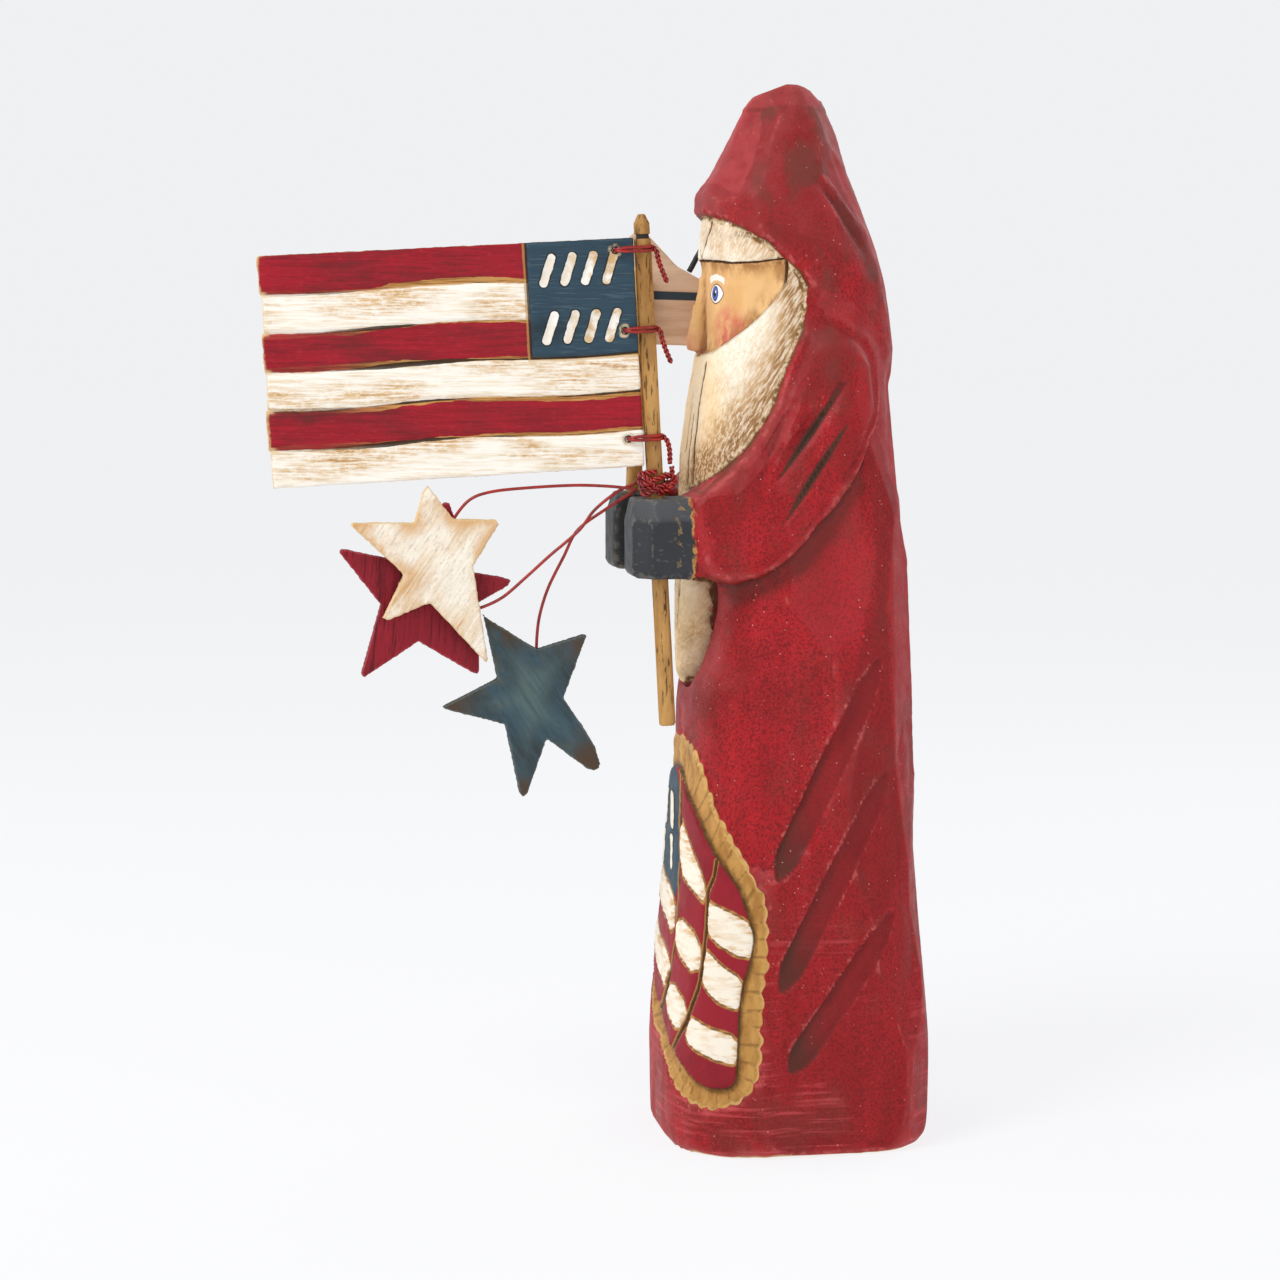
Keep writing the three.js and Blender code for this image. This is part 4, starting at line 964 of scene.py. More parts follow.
def figure_material():
    s = Shade("carved_paint", specular=0.16)
    ragged = s.math("SUBTRACT", s.noise(420, 5), 0.5)
    opening = s.uneven("opening", ragged, 1.2)
    window = s.uneven("window", ragged, 0.6)
    panel = s.uneven("panel", ragged, 0.6)
    fur = s.noise(1500, 4, stretch=(1, 1, 0.16), turn=(-0.6, 0, 0))
    height_up = s.split(s.place, 2)

    colour = s.mix(s.fade(panel, -0.1, 0.2), robe_paint(s, ragged), skirt_flag_paint(s, panel, ragged))
    colour = s.over(colour, hair_paint(s, fur), s.fade(opening, 0.3, 0.6))
    pale_rim = s.fade(s.math("ABSOLUTE", s.math("SUBTRACT", s.field("opening"), 1.0)), 0.7, 0.2)
    pale_rim = s.both(pale_rim, s.fade(s.noise(600, 3), 0.42, 0.6), s.fade(opening, 0.4, 0.6))
    colour = s.over(colour, (236, 214, 170), pale_rim, 0.6)
    colour = s.over(colour, face_paint(s, window), s.fade(window, 0.0, 0.25))
    colour = seam_paint(s, colour, opening, ragged)
    colour = s.over(colour, mitten_paint(s), s.fade(s.uneven("mitten", ragged, 1.4), -0.1, 0.15))
    cuff = s.fade(s.math("ABSOLUTE", s.uneven("mitten", ragged, 2.2)), 0.45, 0.15)
    cuff_share = s.both(cuff, s.field("near_cuff"), s.fade(s.noise(200, 4), 0.4, 0.52))
    colour = s.over(colour, (186, 142, 80), cuff_share, 0.85)
    facing_down = s.fade(s.field("upward"), -0.7, -0.9)
    colour = s.over(colour, (196, 160, 112), facing_down, s.fade(height_up, 0.002, 0.001))

    hairy = s.both(s.fade(opening, 0.3, 0.8), s.fade(window, 0.2, -0.2))
    tool = s.noise(170, 3, stretch=(1, 1, 0.45))
    height = s.math("ADD", s.math("MULTIPLY", s.noise(700, 4), 0.3), s.math("MULTIPLY", tool, 0.35))
    height = s.math("ADD", height, s.both(hairy, fur, s.fade(height_up, 0.16, 0.18, 0.1, 0.3)))
    rough = s.math("ADD", s.fade(s.noise(220, 4), 0.3, 0.7, 0.45, 0.62), s.math("MULTIPLY", hairy, 0.12))
    return s.finish(colour, rough, height, 0.32)


# The carved figure. In these functions f holds its corners, its fields and how far each corner moves out.

def gouge_fields(f):
    """The skirt's gouges seen from the side: their depth, their dark glaze with painted shade on one wall,
    and their chipped upper edge.
    """
    _, y, z = f.corners.T
    at_side = f.outward > 22
    inside, f.stain, f.chips, f.dug = np.zeros((4, len(y)))
    f.gouge = np.full(len(y), OFF)
    for stroke in SKIRT_STROKES:
        gap, reach, whole, _ = line_field(y, z, rounded(stroke, closed=False))
        share = reach / whole
        (y0, z0), (y1, z1) = stroke[0], stroke[-1]
        ahead = np.array([y1 - y0, z1 - z0]) / math.hypot(y1 - y0, z1 - z0)
        side = np.where((y - y0) * ahead[1] - (z - z0) * ahead[0] > 0, 1.0, -1.0)
        ends_in = ((share / 0.22) ** 0.5 + 0.15, ((1 - share) / 0.1) ** 0.5)
        width = 3.5 * np.minimum.reduce([np.ones(len(y)), *ends_in])
        within = fade(gap, width, width - 0.9) * at_side
        offset = gap * side
        inside = np.maximum(inside, within)
        f.gouge = np.maximum(f.gouge, np.where(at_side, width - gap, OFF))
        # dark glaze towards the lower end, and painted shade on the wall on one side of the gouge
        lower = fade(share, 0.62, 1.0) * 0.95 + fade(offset, -0.5, 3.2) * fade(share, 0.2, 0.6) * 0.4
        f.stain = np.maximum(f.stain, within * np.clip(lower + 0.08, 0, 1))
        lip = fade(offset, width - 0.4, width + 0.2) * fade(offset, width + 1.3, width + 0.5)
        f.chips = np.maximum(f.chips, lip * at_side * fade(share, 0.02, 0.1) * fade(share, 0.98, 0.9))
        f.dug = np.maximum(f.dug, within * (0.55 + 0.45 * fade(offset, -1.5, 2.8)) * (1.15 - 0.35 * share))
    return inside


def ease_facets(f):
    """Evens out the solid's small facets: most where the robe is free, least on the mittens."""
    start, ends = f.corners, f.ends
    x, y, z = start.T
    inside = gouge_fields(f)
    sleeve_gap = gap_to(y, z, SLEEVE_STROKES)
    hood_gap = gap_to(y, z, [HOOD_STROKE])
    mittens_near = (y < -33.5) & (z > 160) & (z < 191)
    f.free = (inside_field(y, z, FACE_OPENING) < -2.5) & ~mittens_near & ((y > -33) | (z > 250))
    f.free &= (outside_form(TONGUE, x, y, z) > 1.5) | (z > 190) | (z < 133)
    f.free &= (inside < 0.01) & ((sleeve_gap > 2.2) | (z < 178)) & ((hood_gap > 4.5) | (z < 248))

    rims = blurred(((f.gouge > -2) | ((sleeve_gap < 3) & (z > 178))).astype(float), ends, 1)[:, None]
    worked = soften(start, ends, 6, 0.12) * (1 - rims) + blurred(start, ends, 3) * rims
    ease = blurred((f.free & (z < 256)).astype(float), ends, 2)[:, None]
    corners = worked * (1 - ease) + blurred(soften(start, ends, 30, 0.21), ends, 3) * ease
    crisp = blurred(mittens_near.astype(float), ends, 2)[:, None]
    f.corners = corners * (1 - crisp) + soften(start, ends, 2, 0.12) * crisp
    set_corners(f.mesh, f.corners, FIGURE)
    f.normals = normals_of(f.mesh)


def head_fields(f):
    """Where the hood opens, the face's window, the mittens, and the lines cut in beard and hair."""
    x, y, z = f.corners.T
    tongue = np.where((z < 189) & (z > 133) & (y < -19), 0.7 - outside_form(TONGUE, x, y, z), OFF)
    upper = np.maximum(inside_field(y, z, FACE_OPENING), np.where(np.abs(x) < 14, tongue, OFF))
    f.opening = np.where(z < 188.6, tongue, upper)
    f.window = inside_field(y, z, FACE_WINDOW)
    f.mitten = np.minimum.reduce([-33.9 - y, np.abs(x) - 8.2, 31 - np.abs(x), z - 163.4, 189 - z])
    f.hair = fade(f.opening, 0.2, 0.8)
    f.skin = fade(f.window, 0, 0.6) * f.hair
    f.glove = fade(f.mitten, -0.2, 0.4)
    beard_lines = [rounded(line, closed=False) for line in BEARD_LINES]
    cuts = np.minimum(gap_to(x, z, beard_lines), gap_to(f.outward, z, SIDE_LINES))
    f.cuts = np.where((y < -16) & (f.hair > 0) & (f.skin < 0.5), cuts, 20)


def on_flat(shape):
    """A shape on the skirt laid flat: degrees as millimetres."""
    return [(turn * DEGREE, level) for turn, level in shape]


def panel_fields(f):
    """The flag carved on the skirt: its scalloped band, its ground, canton, stripes, folds and bars."""
    x, y, z = f.corners.T
    along = turn_on(ROBE, x, y, np.clip(z, 0, ROBE_TOP)) * DEGREE
    on_skirt = (z < 122) & (y < 20)
    away, f.place, _, within = line_field(along, z, rounded(on_flat(PANEL_OUTER)), closed=True)
    turn = f.place * math.pi / SCALLOP
    scallop = 0.9 * np.abs(np.sin(turn)) + 0.5 * lattice_noise(f.corners, 3.1, 5)
    # the scallops' phase: low at each notch, where the material paints shade across the band
    f.notch = np.abs(np.sin(turn + 0.8 * lattice_noise(f.corners, 9, 6)))
    f.panel = np.where(on_skirt, np.where(within, away, -away) + scallop - 0.5, OFF)
    f.inner = np.where(on_skirt, inside_field(along, z, rounded(on_flat(PANEL_INNER))), OFF)
    f.white = inside_any(along, z, [rounded(on_flat(shape), rounds=1) for shape in PANEL_WHITES])
    f.canton = inside_field(along, z, on_flat(PANEL_CANTON))
    f.folds = gap_to(along, z, [on_flat(line) for line in PANEL_FOLDS])
    f.bars = gap_to(along, z, [on_flat(line) for line in PANEL_BARS])


def stroke_fields(f):
    """The slits in the sleeves, and the painted shade in the hood's gouge and in the crease under the sleeve.
    """
    _, y, z = f.corners.T
    f.slit = np.full(len(y), OFF)
    for stroke in SLEEVE_STROKES:
        gap, reach, whole, _ = line_field(y, z, stroke)
        swell = np.sin(np.clip(reach / whole, 0, 1) * math.pi) ** 0.6
        f.slit = np.maximum(f.slit, np.where(f.outward > 30, 0.95 * swell - gap, OFF))
    # painted shade in the hood's gouge and in the crease under the sleeve
    gap, reach, whole, _ = line_field(y, z, HOOD_STROKE)
    f.stain = np.maximum(f.stain, fade(gap, 3.0, 1.2) * (z > 245) * 0.6 * fade(reach / whole, 0.15, 0.5))
    gap = gap_to(y, z, [UNDER_SLEEVE])
    f.stain = np.maximum(f.stain, fade(gap, 4.4, 1.2) * (f.outward < 36.5) * 0.5)


def cut_robe(f):
    """Broad flat knife cuts on the hood, the sleeves and the robe, each with its own tone."""
    x, y, z = f.corners.T
    f.robe = (1 - f.hair) * (1 - f.glove) * fade(f.panel, 1.0, -1.0)
    facing = blurred(f.normals, f.ends, 24)
    facing /= np.linalg.norm(facing, axis=1)[:, None]
    rng = np.random.default_rng(4)
    known = (f.robe > 0.9) & f.free & (f.panel < -1)
    beyond = outside_form(ROBE, x, y, np.clip(z, 0, ROBE_TOP))
    sleeve = (z > 161) & (z < 246) & (beyond > 1.2)
    on_sleeve = fade(beyond, 1.4, 3.0) * fade(z, 161, 163) * fade(z, 247, 240)
    on_body = fade(z, 246, 234) * np.where((z > 158) & (z < 246), fade(beyond, 1.2, 0.2), 1.0)
    hood_picks = []
    for px, py, pz in HOOD_CUTS:
        for side in ((1, -1) if px else (1,)):
            spot = np.array([px * side, py, pz]) + rng.normal(0, 0.7, 3)
            hood_picks.append(np.argmin(((f.corners - spot) ** 2).sum(1)))
    sleeve_picks = scattered(f.corners, known & sleeve, (20, 15, 26), 7)
    body_picks = scattered(f.corners, known & (z <= 248) & ~sleeve, (24, 24, 46), 8)

    # for each part its weight, where its cuts are, how they lean, their least and most depth and their height
    parts = (
        (fade(z, 250, 262), np.array(hood_picks), 0.02, 0.4, 0.8, 24),
        (on_sleeve, sleeve_picks, 0.035, 0.3, 0.7, 38),
        (on_body, body_picks, 0.03, 0.5, 0.9, 38),
    )
    cut, tone = np.zeros((2, len(z)))
    for weight, picks, bend, shallow, deep, reach_up in parts:
        own = weight > 0
        planes = facing[picks] + rng.normal(0, 1, (len(picks), 3)) * bend
        planes /= np.linalg.norm(planes, axis=1)[:, None]
        depths = rng.uniform(shallow, deep, len(picks))
        reach = np.array([21, 21, reach_up])
        moves, which = knife_cuts(f.corners[own], facing[own], f.corners[picks], planes, depths, reach)
        cut[own] += weight[own] * moves
        tone[own] += weight[own] * rng.uniform(-1, 1, len(picks))[which]
    f.tone = blurred(tone, f.ends, 1)
    f.shift = f.robe * calmed(filled(cut, known, f.ends, 14), f.ends, 40, 0.34)


def carve_robe(f):
    """The pale cuts, painted as worn and lit, the gouges and slits, and the chips at the gouges' edges."""
    _, y, z = f.corners.T
    ragged_z = z + 0.5 * lattice_noise(f.corners, 4, 23)
    pale = inside_any(y, ragged_z, PALE_CUTS)
    f.pale = np.where((z > 232) & (f.outward > SHOULDER_FROM * (z < 249)), pale, OFF)
    f.shift -= f.robe * 0.3 * fade(f.pale, -0.6, 0.6) * fade(z, 244, 262)
    f.shift += (1 - f.skin) * lattice_noise(f.corners, 2.3, 3) * 0.04
    f.shift -= 0.95 * f.dug + 0.5 * fade(f.slit, -0.9, 0.3)
    f.shift *= fade(z, 0.8, 3)
    f.shift += f.robe * f.chips * 0.12 * lattice_noise(f.corners, 1.1, 19)


def carve_hair(f):
    """Fine lines and cuts in the hair and the beard, the seam round the face, and facets on the mittens."""
    z = f.corners[:, 2]
    hairline = lattice_noise(f.corners * np.array([1, 1, 0.5]), 1.5, 7) * 0.07
    hairline += lattice_noise(f.corners * np.array([1, 1, 0.35]), 3.6, 9) * 0.16
    hairline *= 0.4 + 0.6 * fade(z, 150, 178)
    f.shift += f.hair * (1 - f.skin) * (hairline - 0.8 * fade(f.cuts, 0.9, 0.1))
    f.shift -= 0.5 * f.hair * fade(np.abs(f.window), 0.8, 0.1) * fade(z, 244, 249)
    f.shift -= 0.22 * f.glove * np.clip(facet_field(f.corners, (7, 7, 16), 31), 0, 0.8)


def carve_panel(f):
    """The sloped band with its tool marks, and the skirt's flag, its ground lower than its stripes."""
    on_panel = fade(f.panel, -0.4, 0.4)
    band = on_panel * fade(f.inner, 0.5, -0.5)
    rise = np.clip(f.panel, 0, 20)
    sloped = rise / (rise + np.clip(-f.inner, 0.05, 20))
    f.shift -= band * (0.35 + 0.75 * sloped + 0.22 * np.cos(f.place * 2 * math.pi / BAND_MARK) ** 2)
    f.shift -= on_panel * 0.6 * fade(np.abs(f.inner + 0.3), 1.3, 0.0)
    ground = fade(f.inner, 0.2, 1.2)
    f.shift -= ground * (0.45 - 0.4 * fade(f.white, -0.5, 0.8) - 0.25 * fade(f.canton, -0.4, 0.8))
    f.shift -= ground * 0.45 * fade(np.abs(f.white), 1.0, 0.0)
    f.shift -= ground * 0.8 * fade(f.folds, 1.5, 0.0)
    f.shift += ground * fade(f.canton, 0, 1) * 0.35 * fade(f.bars, 1.3, 0.6)


def carve_face(f):
    """Shallow eye sockets and a low nose, with where shade is painted beside and under it."""
    _, y, z = f.corners.T
    socket = np.sqrt(((f.outward - EYE[0]) / 5.5) ** 2 + ((z - EYE[2]) / 4.2) ** 2)
    front = f.skin * (y < -15)
    f.shift -= front * 0.5 * fade(socket, 1.5, 0.7) - front * 0.35 * fade(socket, 0.7, 0.2)
    half_width = 1.8 + 2.9 * fade(z, 251, 231)
    nose = f.skin * (y < -18) * fade(z, 253, 247)
    ridge = fade(f.outward, half_width + 0.6, half_width - 1.6) * fade(z, 228, 229.4)
    f.shift += nose * ridge * (0.4 + 1.5 * fade(z, 250, 232))
    sides = fade(np.abs(f.outward - half_width - 0.3), 1.4, 0.3)
    under = fade(np.abs(z - NOSE_LOW), 1.2, 0.3) * (f.outward < half_width)
    f.nose_edge = nose * np.maximum(sides, under)


def move_out(f):
    """Moves the corners out by their shift, evens out spikes, and measures the hollows that are left."""
    z = f.corners[:, 2]
    corners = f.corners + f.normals * f.shift[:, None]
    allowed = np.where((f.outward > 33) & (z > 172), 0.26, 0.6)
    for _ in range(3):
        step = pull(corners, f.ends)
        corners += step * fade(np.linalg.norm(step, axis=1), allowed, allowed * 1.4)[:, None]
    corners[:, 2] = np.where(z < 0.6, z, corners[:, 2])
    set_corners(f.mesh, corners, FIGURE)
    normals = normals_of(f.mesh)
    corners = corners_of(f.mesh)
    f.hollow = hollowness(corners, f.ends, normals, 4) / 0.28
    f.broad = hollowness(corners, f.ends, normals, 40) / 1.1
    f.upward = normals[:, 2] + 0.12 * lattice_noise(corners, 9, 15)


def age_hair(f):
    """Where the cream paint is browner towards the robe, the painted shade under the hood's brim, the cuffs,
    and the line round the face.
    """
    _, y, z = f.corners.T
    back = fade(f.opening, 13, 0.5) * np.where(z > 253, 0.6, 1.0)
    middle = fade(np.abs(z - 196), 22, 4) * fade(f.outward, 9, 13) * 0.35
    f.aged = np.where(z < 175, fade(f.opening, 2.4, 0.3) * 1.5 - 0.45, 0.25 + 1.15 * back + middle)
    f.aged -= 0.3 * fade(f.outward, 9.5, 8) * (y < -20)
    # painted shade on the hair just under the hood's brim
    f.smudge = fade(np.hypot((y + 17) / 8, (z - 262) / 2.6), 1.1, 0.5) * (f.outward > 6)
    f.near_cuff = ((z > 163) & (z < 189) & (f.outward > 8) & (y < -30)).astype(float)
    f.line = np.where((y < -27.5) & (f.outward < 5), 0.4, 1.0) * np.clip(fade(z, 244, 249.5), 0.25, 1)


# The fields that the figure's material reads
PAINT_FIELDS = """opening window mitten panel inner white canton folds bars cuts stain gouge slit chips tone
    pale notch hollow broad aged smudge near_cuff line upward nose_edge""".split()


def dress_figure():
    mesh = even_mesh(FIGURE, VOXELS["figure"])
    corners = corners_of(mesh)
    f = SimpleNamespace(mesh=mesh, ends=edge_ends(mesh), corners=corners, outward=np.abs(corners[:, 0]))
    ease_facets(f)
    head_fields(f)
    panel_fields(f)
    stroke_fields(f)
    cut_robe(f)
    carve_robe(f)
    carve_hair(f)
    carve_panel(f)
    carve_face(f)
    move_out(f)
    age_hair(f)
    store(mesh, **{name: getattr(f, name) for name in PAINT_FIELDS})
    merge_underside(mesh, UNDERSIDE_REACH)
    add_piece("santa", mesh, figure_material(), FIGURE)


# The flag

def stripe_paint(s, streaks, hairs, blots, along):
    """The red and the cream of the stripes, and the slate of the canton."""
    grit = s.noise(1100, 4, stretch=(1, 0.35, 1), roughness=0.75)
    red = s.mix(s.fade(streaks, 0.35, 0.65), (144, 20, 34), (164, 26, 42))
    red = s.over(red, (104, 20, 30), s.fade(hairs, 0.5, 0.62), 0.4)
    red = s.over(red, (180, 50, 60), s.fade(grit, 0.54, 0.64), 0.32)
    smoke = s.both(s.fade(blots, 0.42, 0.66), s.fade(along, 26, 84, 0.25, 1.0))
    red = s.over(red, (82, 36, 34), smoke, s.fade(hairs, 0.35, 0.6, 0.6, 1.0), 0.85)
    red = s.over(red, (230, 190, 172), s.specks(420, 0.1), 0.8)
    rubbed = s.fade(s.noise(60, 6, stretch=(1, 0.45, 1.6)), 0.44, 0.66)
    rubbed = s.both(rubbed, s.fade(hairs, 0.4, 0.54, 0.2, 1.0), s.fade(grit, 0.4, 0.54, 0.3, 1.0))
    cream = s.mix(s.fade(streaks, 0.45, 0.75), (250, 245, 234), (236, 220, 192))
    cream = s.over(cream, (222, 190, 142), s.fade(hairs, 0.54, 0.6), 0.4)
    cream = s.over(cream, (212, 168, 106), rubbed, 0.9)
    cream = s.over(cream, (172, 120, 62), rubbed, s.fade(streaks, 0.52, 0.62), 0.7)
    blue = s.mix(s.fade(streaks, 0.35, 0.7), SLATE, (50, 74, 88))
    blue = s.over(blue, (82, 104, 112), s.fade(hairs, 0.54, 0.65), 0.5)
    blue = s.over(blue, (34, 44, 50), s.fade(blots, 0.5, 0.7), 0.7)
    return red, cream, blue


def seams_paint(s, stripes, stripe, ragged, hairs, along):
    """The seams between the stripes: gold where the paint stops short, and dark where the cut is deep."""
    gilt_width = s.fade(s.noise(46, 5, stretch=(1, 0.35, 1.4)), 0.36, 0.62, 0.15, 1.5)
    gilt = s.math("LESS_THAN", s.math("ABSOLUTE", s.math("SUBTRACT", stripe, 0.1)), gilt_width)
    gilt = s.both(gilt, s.fade(along, 90, 62, 0.1, 1.0), s.fade(stripe, -0.5, -0.2))
    gold = s.mix(s.fade(hairs, 0.4, 0.6), (206, 158, 88), (160, 112, 56))
    stripes = s.over(stripes, gold, gilt, 0.85)
    seam = s.math("ABSOLUTE", s.math("ADD", s.field("stripe"), 0.05))
    seam = s.math("ADD", seam, s.math("MULTIPLY", ragged, 0.5))
    cut_width = s.fade(s.noise(60, 4, stretch=(1, 0.3, 1.2)), 0.4, 0.66, 0.0, 0.75)
    dark = s.both(s.math("LESS_THAN", seam, cut_width), s.fade(along, 99, 70, 0.3, 1.0))
    return s.over(stripes, (42, 28, 18), dark, 0.92)


def marks_paint(s, colour, ragged, along):
    """The rows of strokes on the canton, the holes with chips round them and painted shade inside, and the
    worn rim.
    """
    strokes = s.uneven("strokes", ragged, 0.9)
    colour = s.over(colour, (24, 24, 24), s.fade(strokes, 1.75, 1.3), s.fade(ragged, -0.12, 0.06, 0.3, 1.0))
    worn = s.both(s.fade(s.noise(150, 5), 0.36, 0.6), s.fade(along, 26, 10, 0.3, 1.0))
    colour = s.over(colour, s.mix(worn, (244, 240, 232), (206, 172, 122)), s.fade(strokes, 1.25, 1.1))
    chip = s.fade(s.uneven("holes", ragged, 2.2), 2.1, 1.5)
    colour = s.over(colour, (214, 196, 160), chip, s.fade(s.noise(330, 4), 0.4, 0.6), 0.9)
    # painted shade inside the holes
    colour = s.over(colour, (44, 32, 24), s.fade(s.field("holes"), 1.15, 0.95))
    rim = s.fade(s.field("rim"), 0.7, 0.1)
    colour = s.over(colour, (206, 166, 110), rim, s.fade(s.noise(240, 4), 0.42, 0.6), 0.7)
    return s.over(colour, (222, 190, 142), s.field("sawn"), 0.75)


def flag_material():
    s = Shade("flag_paint", specular=0.2)
    ragged = s.math("SUBTRACT", s.noise(420, 5, stretch=(1, 0.4, 1)), 0.5)
    stripe = s.uneven("stripe", ragged, 1.0)
    canton = s.uneven("canton", ragged, 0.6)
    along = s.field("along")
    streaks = s.noise(700, 5, stretch=(1, 0.07, 1))
    hairs = s.noise(1700, 4, stretch=(1, 0.05, 1))
    blots = s.noise(48, 6, stretch=(1, 0.6, 1.3))
    red, cream, blue = stripe_paint(s, streaks, hairs, blots, along)
    stripes = s.mix(s.fade(stripe, -0.15, 0.15), cream, red)
    stripes = seams_paint(s, stripes, stripe, ragged, hairs, along)
    colour = s.mix(s.fade(canton, 0.2, 0.4), stripes, blue)
    colour = s.over(colour, (200, 156, 90), s.fade(canton, -1.0, -0.7), s.fade(canton, 0.1, -0.1), 0.6)
    border = s.math("ABSOLUTE", s.math("SUBTRACT", s.field("canton"), 0.1))
    colour = s.over(colour, (36, 28, 22), s.fade(border, 0.45, 0.2), 0.9)
    colour = marks_paint(s, colour, ragged, along)
    height = s.math("ADD", streaks, s.math("MULTIPLY", hairs, 0.7))
    return s.finish(colour, s.fade(streaks, 0.3, 0.7, 0.45, 0.65), height, 0.2)


def flag_fields(corners):
    """Places on the flag: along it, down it and across it, and the distance to each thing painted on it."""
    across, out, up = to_grip(corners, GRIP, POLE_LEAN)
    along = -STICK_RADIUS - GAP - out
    down = FLAG_TOP - up
    wave = WAVE * np.sin(along / FLAG_LENGTH * 3 * math.pi)
    level = np.clip((down - wave) / STRIPE, 0.0001, 5.9999)
    row = np.floor(level)
    above = np.where(row == 0, 99, (level - row) * STRIPE)
    below = np.where(row == 5, 99, (row + 1 - level) * STRIPE)
    stripe = np.minimum(np.minimum(above, below), 6) * np.where(row % 2 == 0, 1, -1)
    canton = np.minimum(CANTON[0] - along, CANTON[1] + wave - down)
    lines = []
    for stroke_row, column in itertools.product(range(STROKE_ROWS), range(STROKE_COLUMNS)):
        at = (column + 1.2) * CANTON[0] / (STROKE_COLUMNS + 1.2)
        mid = (stroke_row + 0.5) * CANTON[1] / STROKE_ROWS
        half = STROKE_LENGTH / 2
        lines.append([(at - STROKE_LEAN, mid - half), (at + STROKE_LEAN, mid + half)])
    strokes = np.where(across > 1.0, np.minimum(gap_to(along, down, lines), 9.0), 9)
    holes = np.min([np.hypot(along - a, down - d) for a, d in HOLES.values()], axis=0)
    rim = np.minimum.reduce([along + 0.3, down + 0.3, FLAG_HEIGHT - down + 0.3, FLAG_LENGTH - along])
    sawn = fade(np.abs(across), 1.4, 1.15) * fade(along, 102, 103.5)
    painted = {"stripe": stripe, "canton": canton, "along": along, "strokes": strokes,
               "holes": holes, "rim": rim, "sawn": sawn}
    return across, down, painted


def dress_flag():
    mesh = even_mesh("flag_board", VOXELS["flag"])
    corners = corners_of(mesh)
    across, down, painted = flag_fields(corners)
    along, holes, rim = painted["along"], painted["holes"], painted["rim"]
    seam = np.where(painted["canton"] > 0, 9, np.abs(painted["stripe"]))
    face = fade(np.abs(across), 1.1, 1.45)
    grain = lattice_noise(np.stack([along * 0.08, down, across], 1), 0.9, 2)
    shift = face * (grain * 0.06 - 0.28 * fade(seam, 0.9, 0.1) * (1 + lattice_noise(corners, 5, 4)))
    shift += face * 0.1 * lattice_noise(corners, 7, 8)
    shift -= face * 0.35 * fade(holes, 2.3, 1.0)
    shift -= 0.25 * fade(rim, 0.9, 0.2) * (0.6 + 0.6 * lattice_noise(corners, 1.6, 6))
    corners = corners + normals_of(mesh) * shift[:, None]
    end = fade(along, FLAG_LENGTH - 2.2, FLAG_LENGTH)
    bite = np.abs(lattice_noise(np.stack([down, across * 0.3, down * 0], 1), 2.6, 12))
    corners[:, 1] += end * (0.3 * bite + 0.12 * np.abs(lattice_noise(corners, 0.9, 14)))
    set_corners(mesh, corners, "flag_board")
    store(mesh, **painted)
    add_piece("flag", mesh, flag_material(), "flag_board")


# The stars

# Each star's slot, its main paint, the paint rubbed over it, its rim, its sawn side and the lean of its grain
STAR_LOOKS = {
    "white": ("white_star_paint", (250, 240, 222), (216, 168, 106), (226, 196, 148), (224, 194, 146), -0.6),
    "red": ("red_star_paint", (146, 28, 42), (98, 20, 32), (178, 74, 80), (104, 28, 38), -0.08),
    "blue": ("blue_star_paint", (62, 84, 94), (48, 56, 56), (104, 110, 104), (40, 42, 42), 0.6),
}


def darker(paint, share):
    return tuple(c * share for c in paint)


def star_marks(s, name, colour, grain, blots, turn):
    """The marks that one star has and the others haven't."""
    if name == "white":
        colour = s.over(colour, (178, 122, 62), s.fade(blots, 0.5, 0.66), s.fade(grain, 0.48, 0.6), 0.45)
        near_edge = s.fade(s.field("edge"), 5, 0.5)
        return s.over(colour, (212, 160, 96), near_edge, s.fade(s.noise(70, 5), 0.42, 0.6), 0.8)
    if name == "red":
        colour = s.over(colour, (150, 32, 46), s.fade(s.noise(75, 4), 0.46, 0.66), 0.5)
        return s.over(colour, (70, 16, 24), s.fade(grain, 0.56, 0.62), 0.7)
    # a painted sheen along the grain, inside the blue star's edge
    inner = s.fade(s.field("edge"), 2, 9)
    colour = s.over(colour, (100, 120, 116), inner, s.fade(grain, 0.35, 0.6, 0.3, 1.0), 0.6)
    amber = s.fade(s.noise(64, 5, turn=turn), 0.5, 0.66)
    colour = s.over(colour, (112, 104, 72), amber, s.fade(grain, 0.4, 0.62), 0.6)
    tips = s.fade(s.field("reach"), 12, 23)
    return s.over(colour, (80, 60, 40), tips, s.fade(s.noise(50, 4), 0.36, 0.54), 0.9)


def star_material(name):
    slot, main, second, rim_tone, side_tone, lean = STAR_LOOKS[name]
    s = Shade(slot, specular=0.2)
    turn = (lean, 0, 0)
    grain = s.noise(900, 5, stretch=(1, 1, 0.07), turn=turn, roughness=0.72)
    grit = s.noise(1150, 4, stretch=(1, 1, 0.4), turn=turn, roughness=0.75)
    blots = s.noise(52, 6, stretch=(1.3, 1.3, 0.6), turn=turn)
    edge = s.uneven("edge", s.math("SUBTRACT", grain, 0.5), 1.0)
    colour = s.over(main, darker(main, 0.86), s.fade(grain, 0.42, 0.66), 0.5)
    rubbed = s.both(s.fade(blots, 0.42, 0.64), s.fade(grain, 0.34, 0.58, 0.5, 1.0))
    colour = s.over(colour, second, rubbed, 0.85)
    colour = s.over(colour, darker(main, 0.72), s.fade(grit, 0.53, 0.62), 0.45)
    colour = star_marks(s, name, colour, grain, blots, turn)
    colour = s.over(colour, rim_tone, s.fade(edge, 0.7, 0.2), 0.65)
    colour = s.over(colour, side_tone, s.field("side"), 0.85)
    height = s.math("ADD", grain, s.math("MULTIPLY", s.noise(1100, 3), 0.3))
    return s.finish(colour, s.fade(grain, 0.3, 0.7, 0.45, 0.65), height, 0.25)


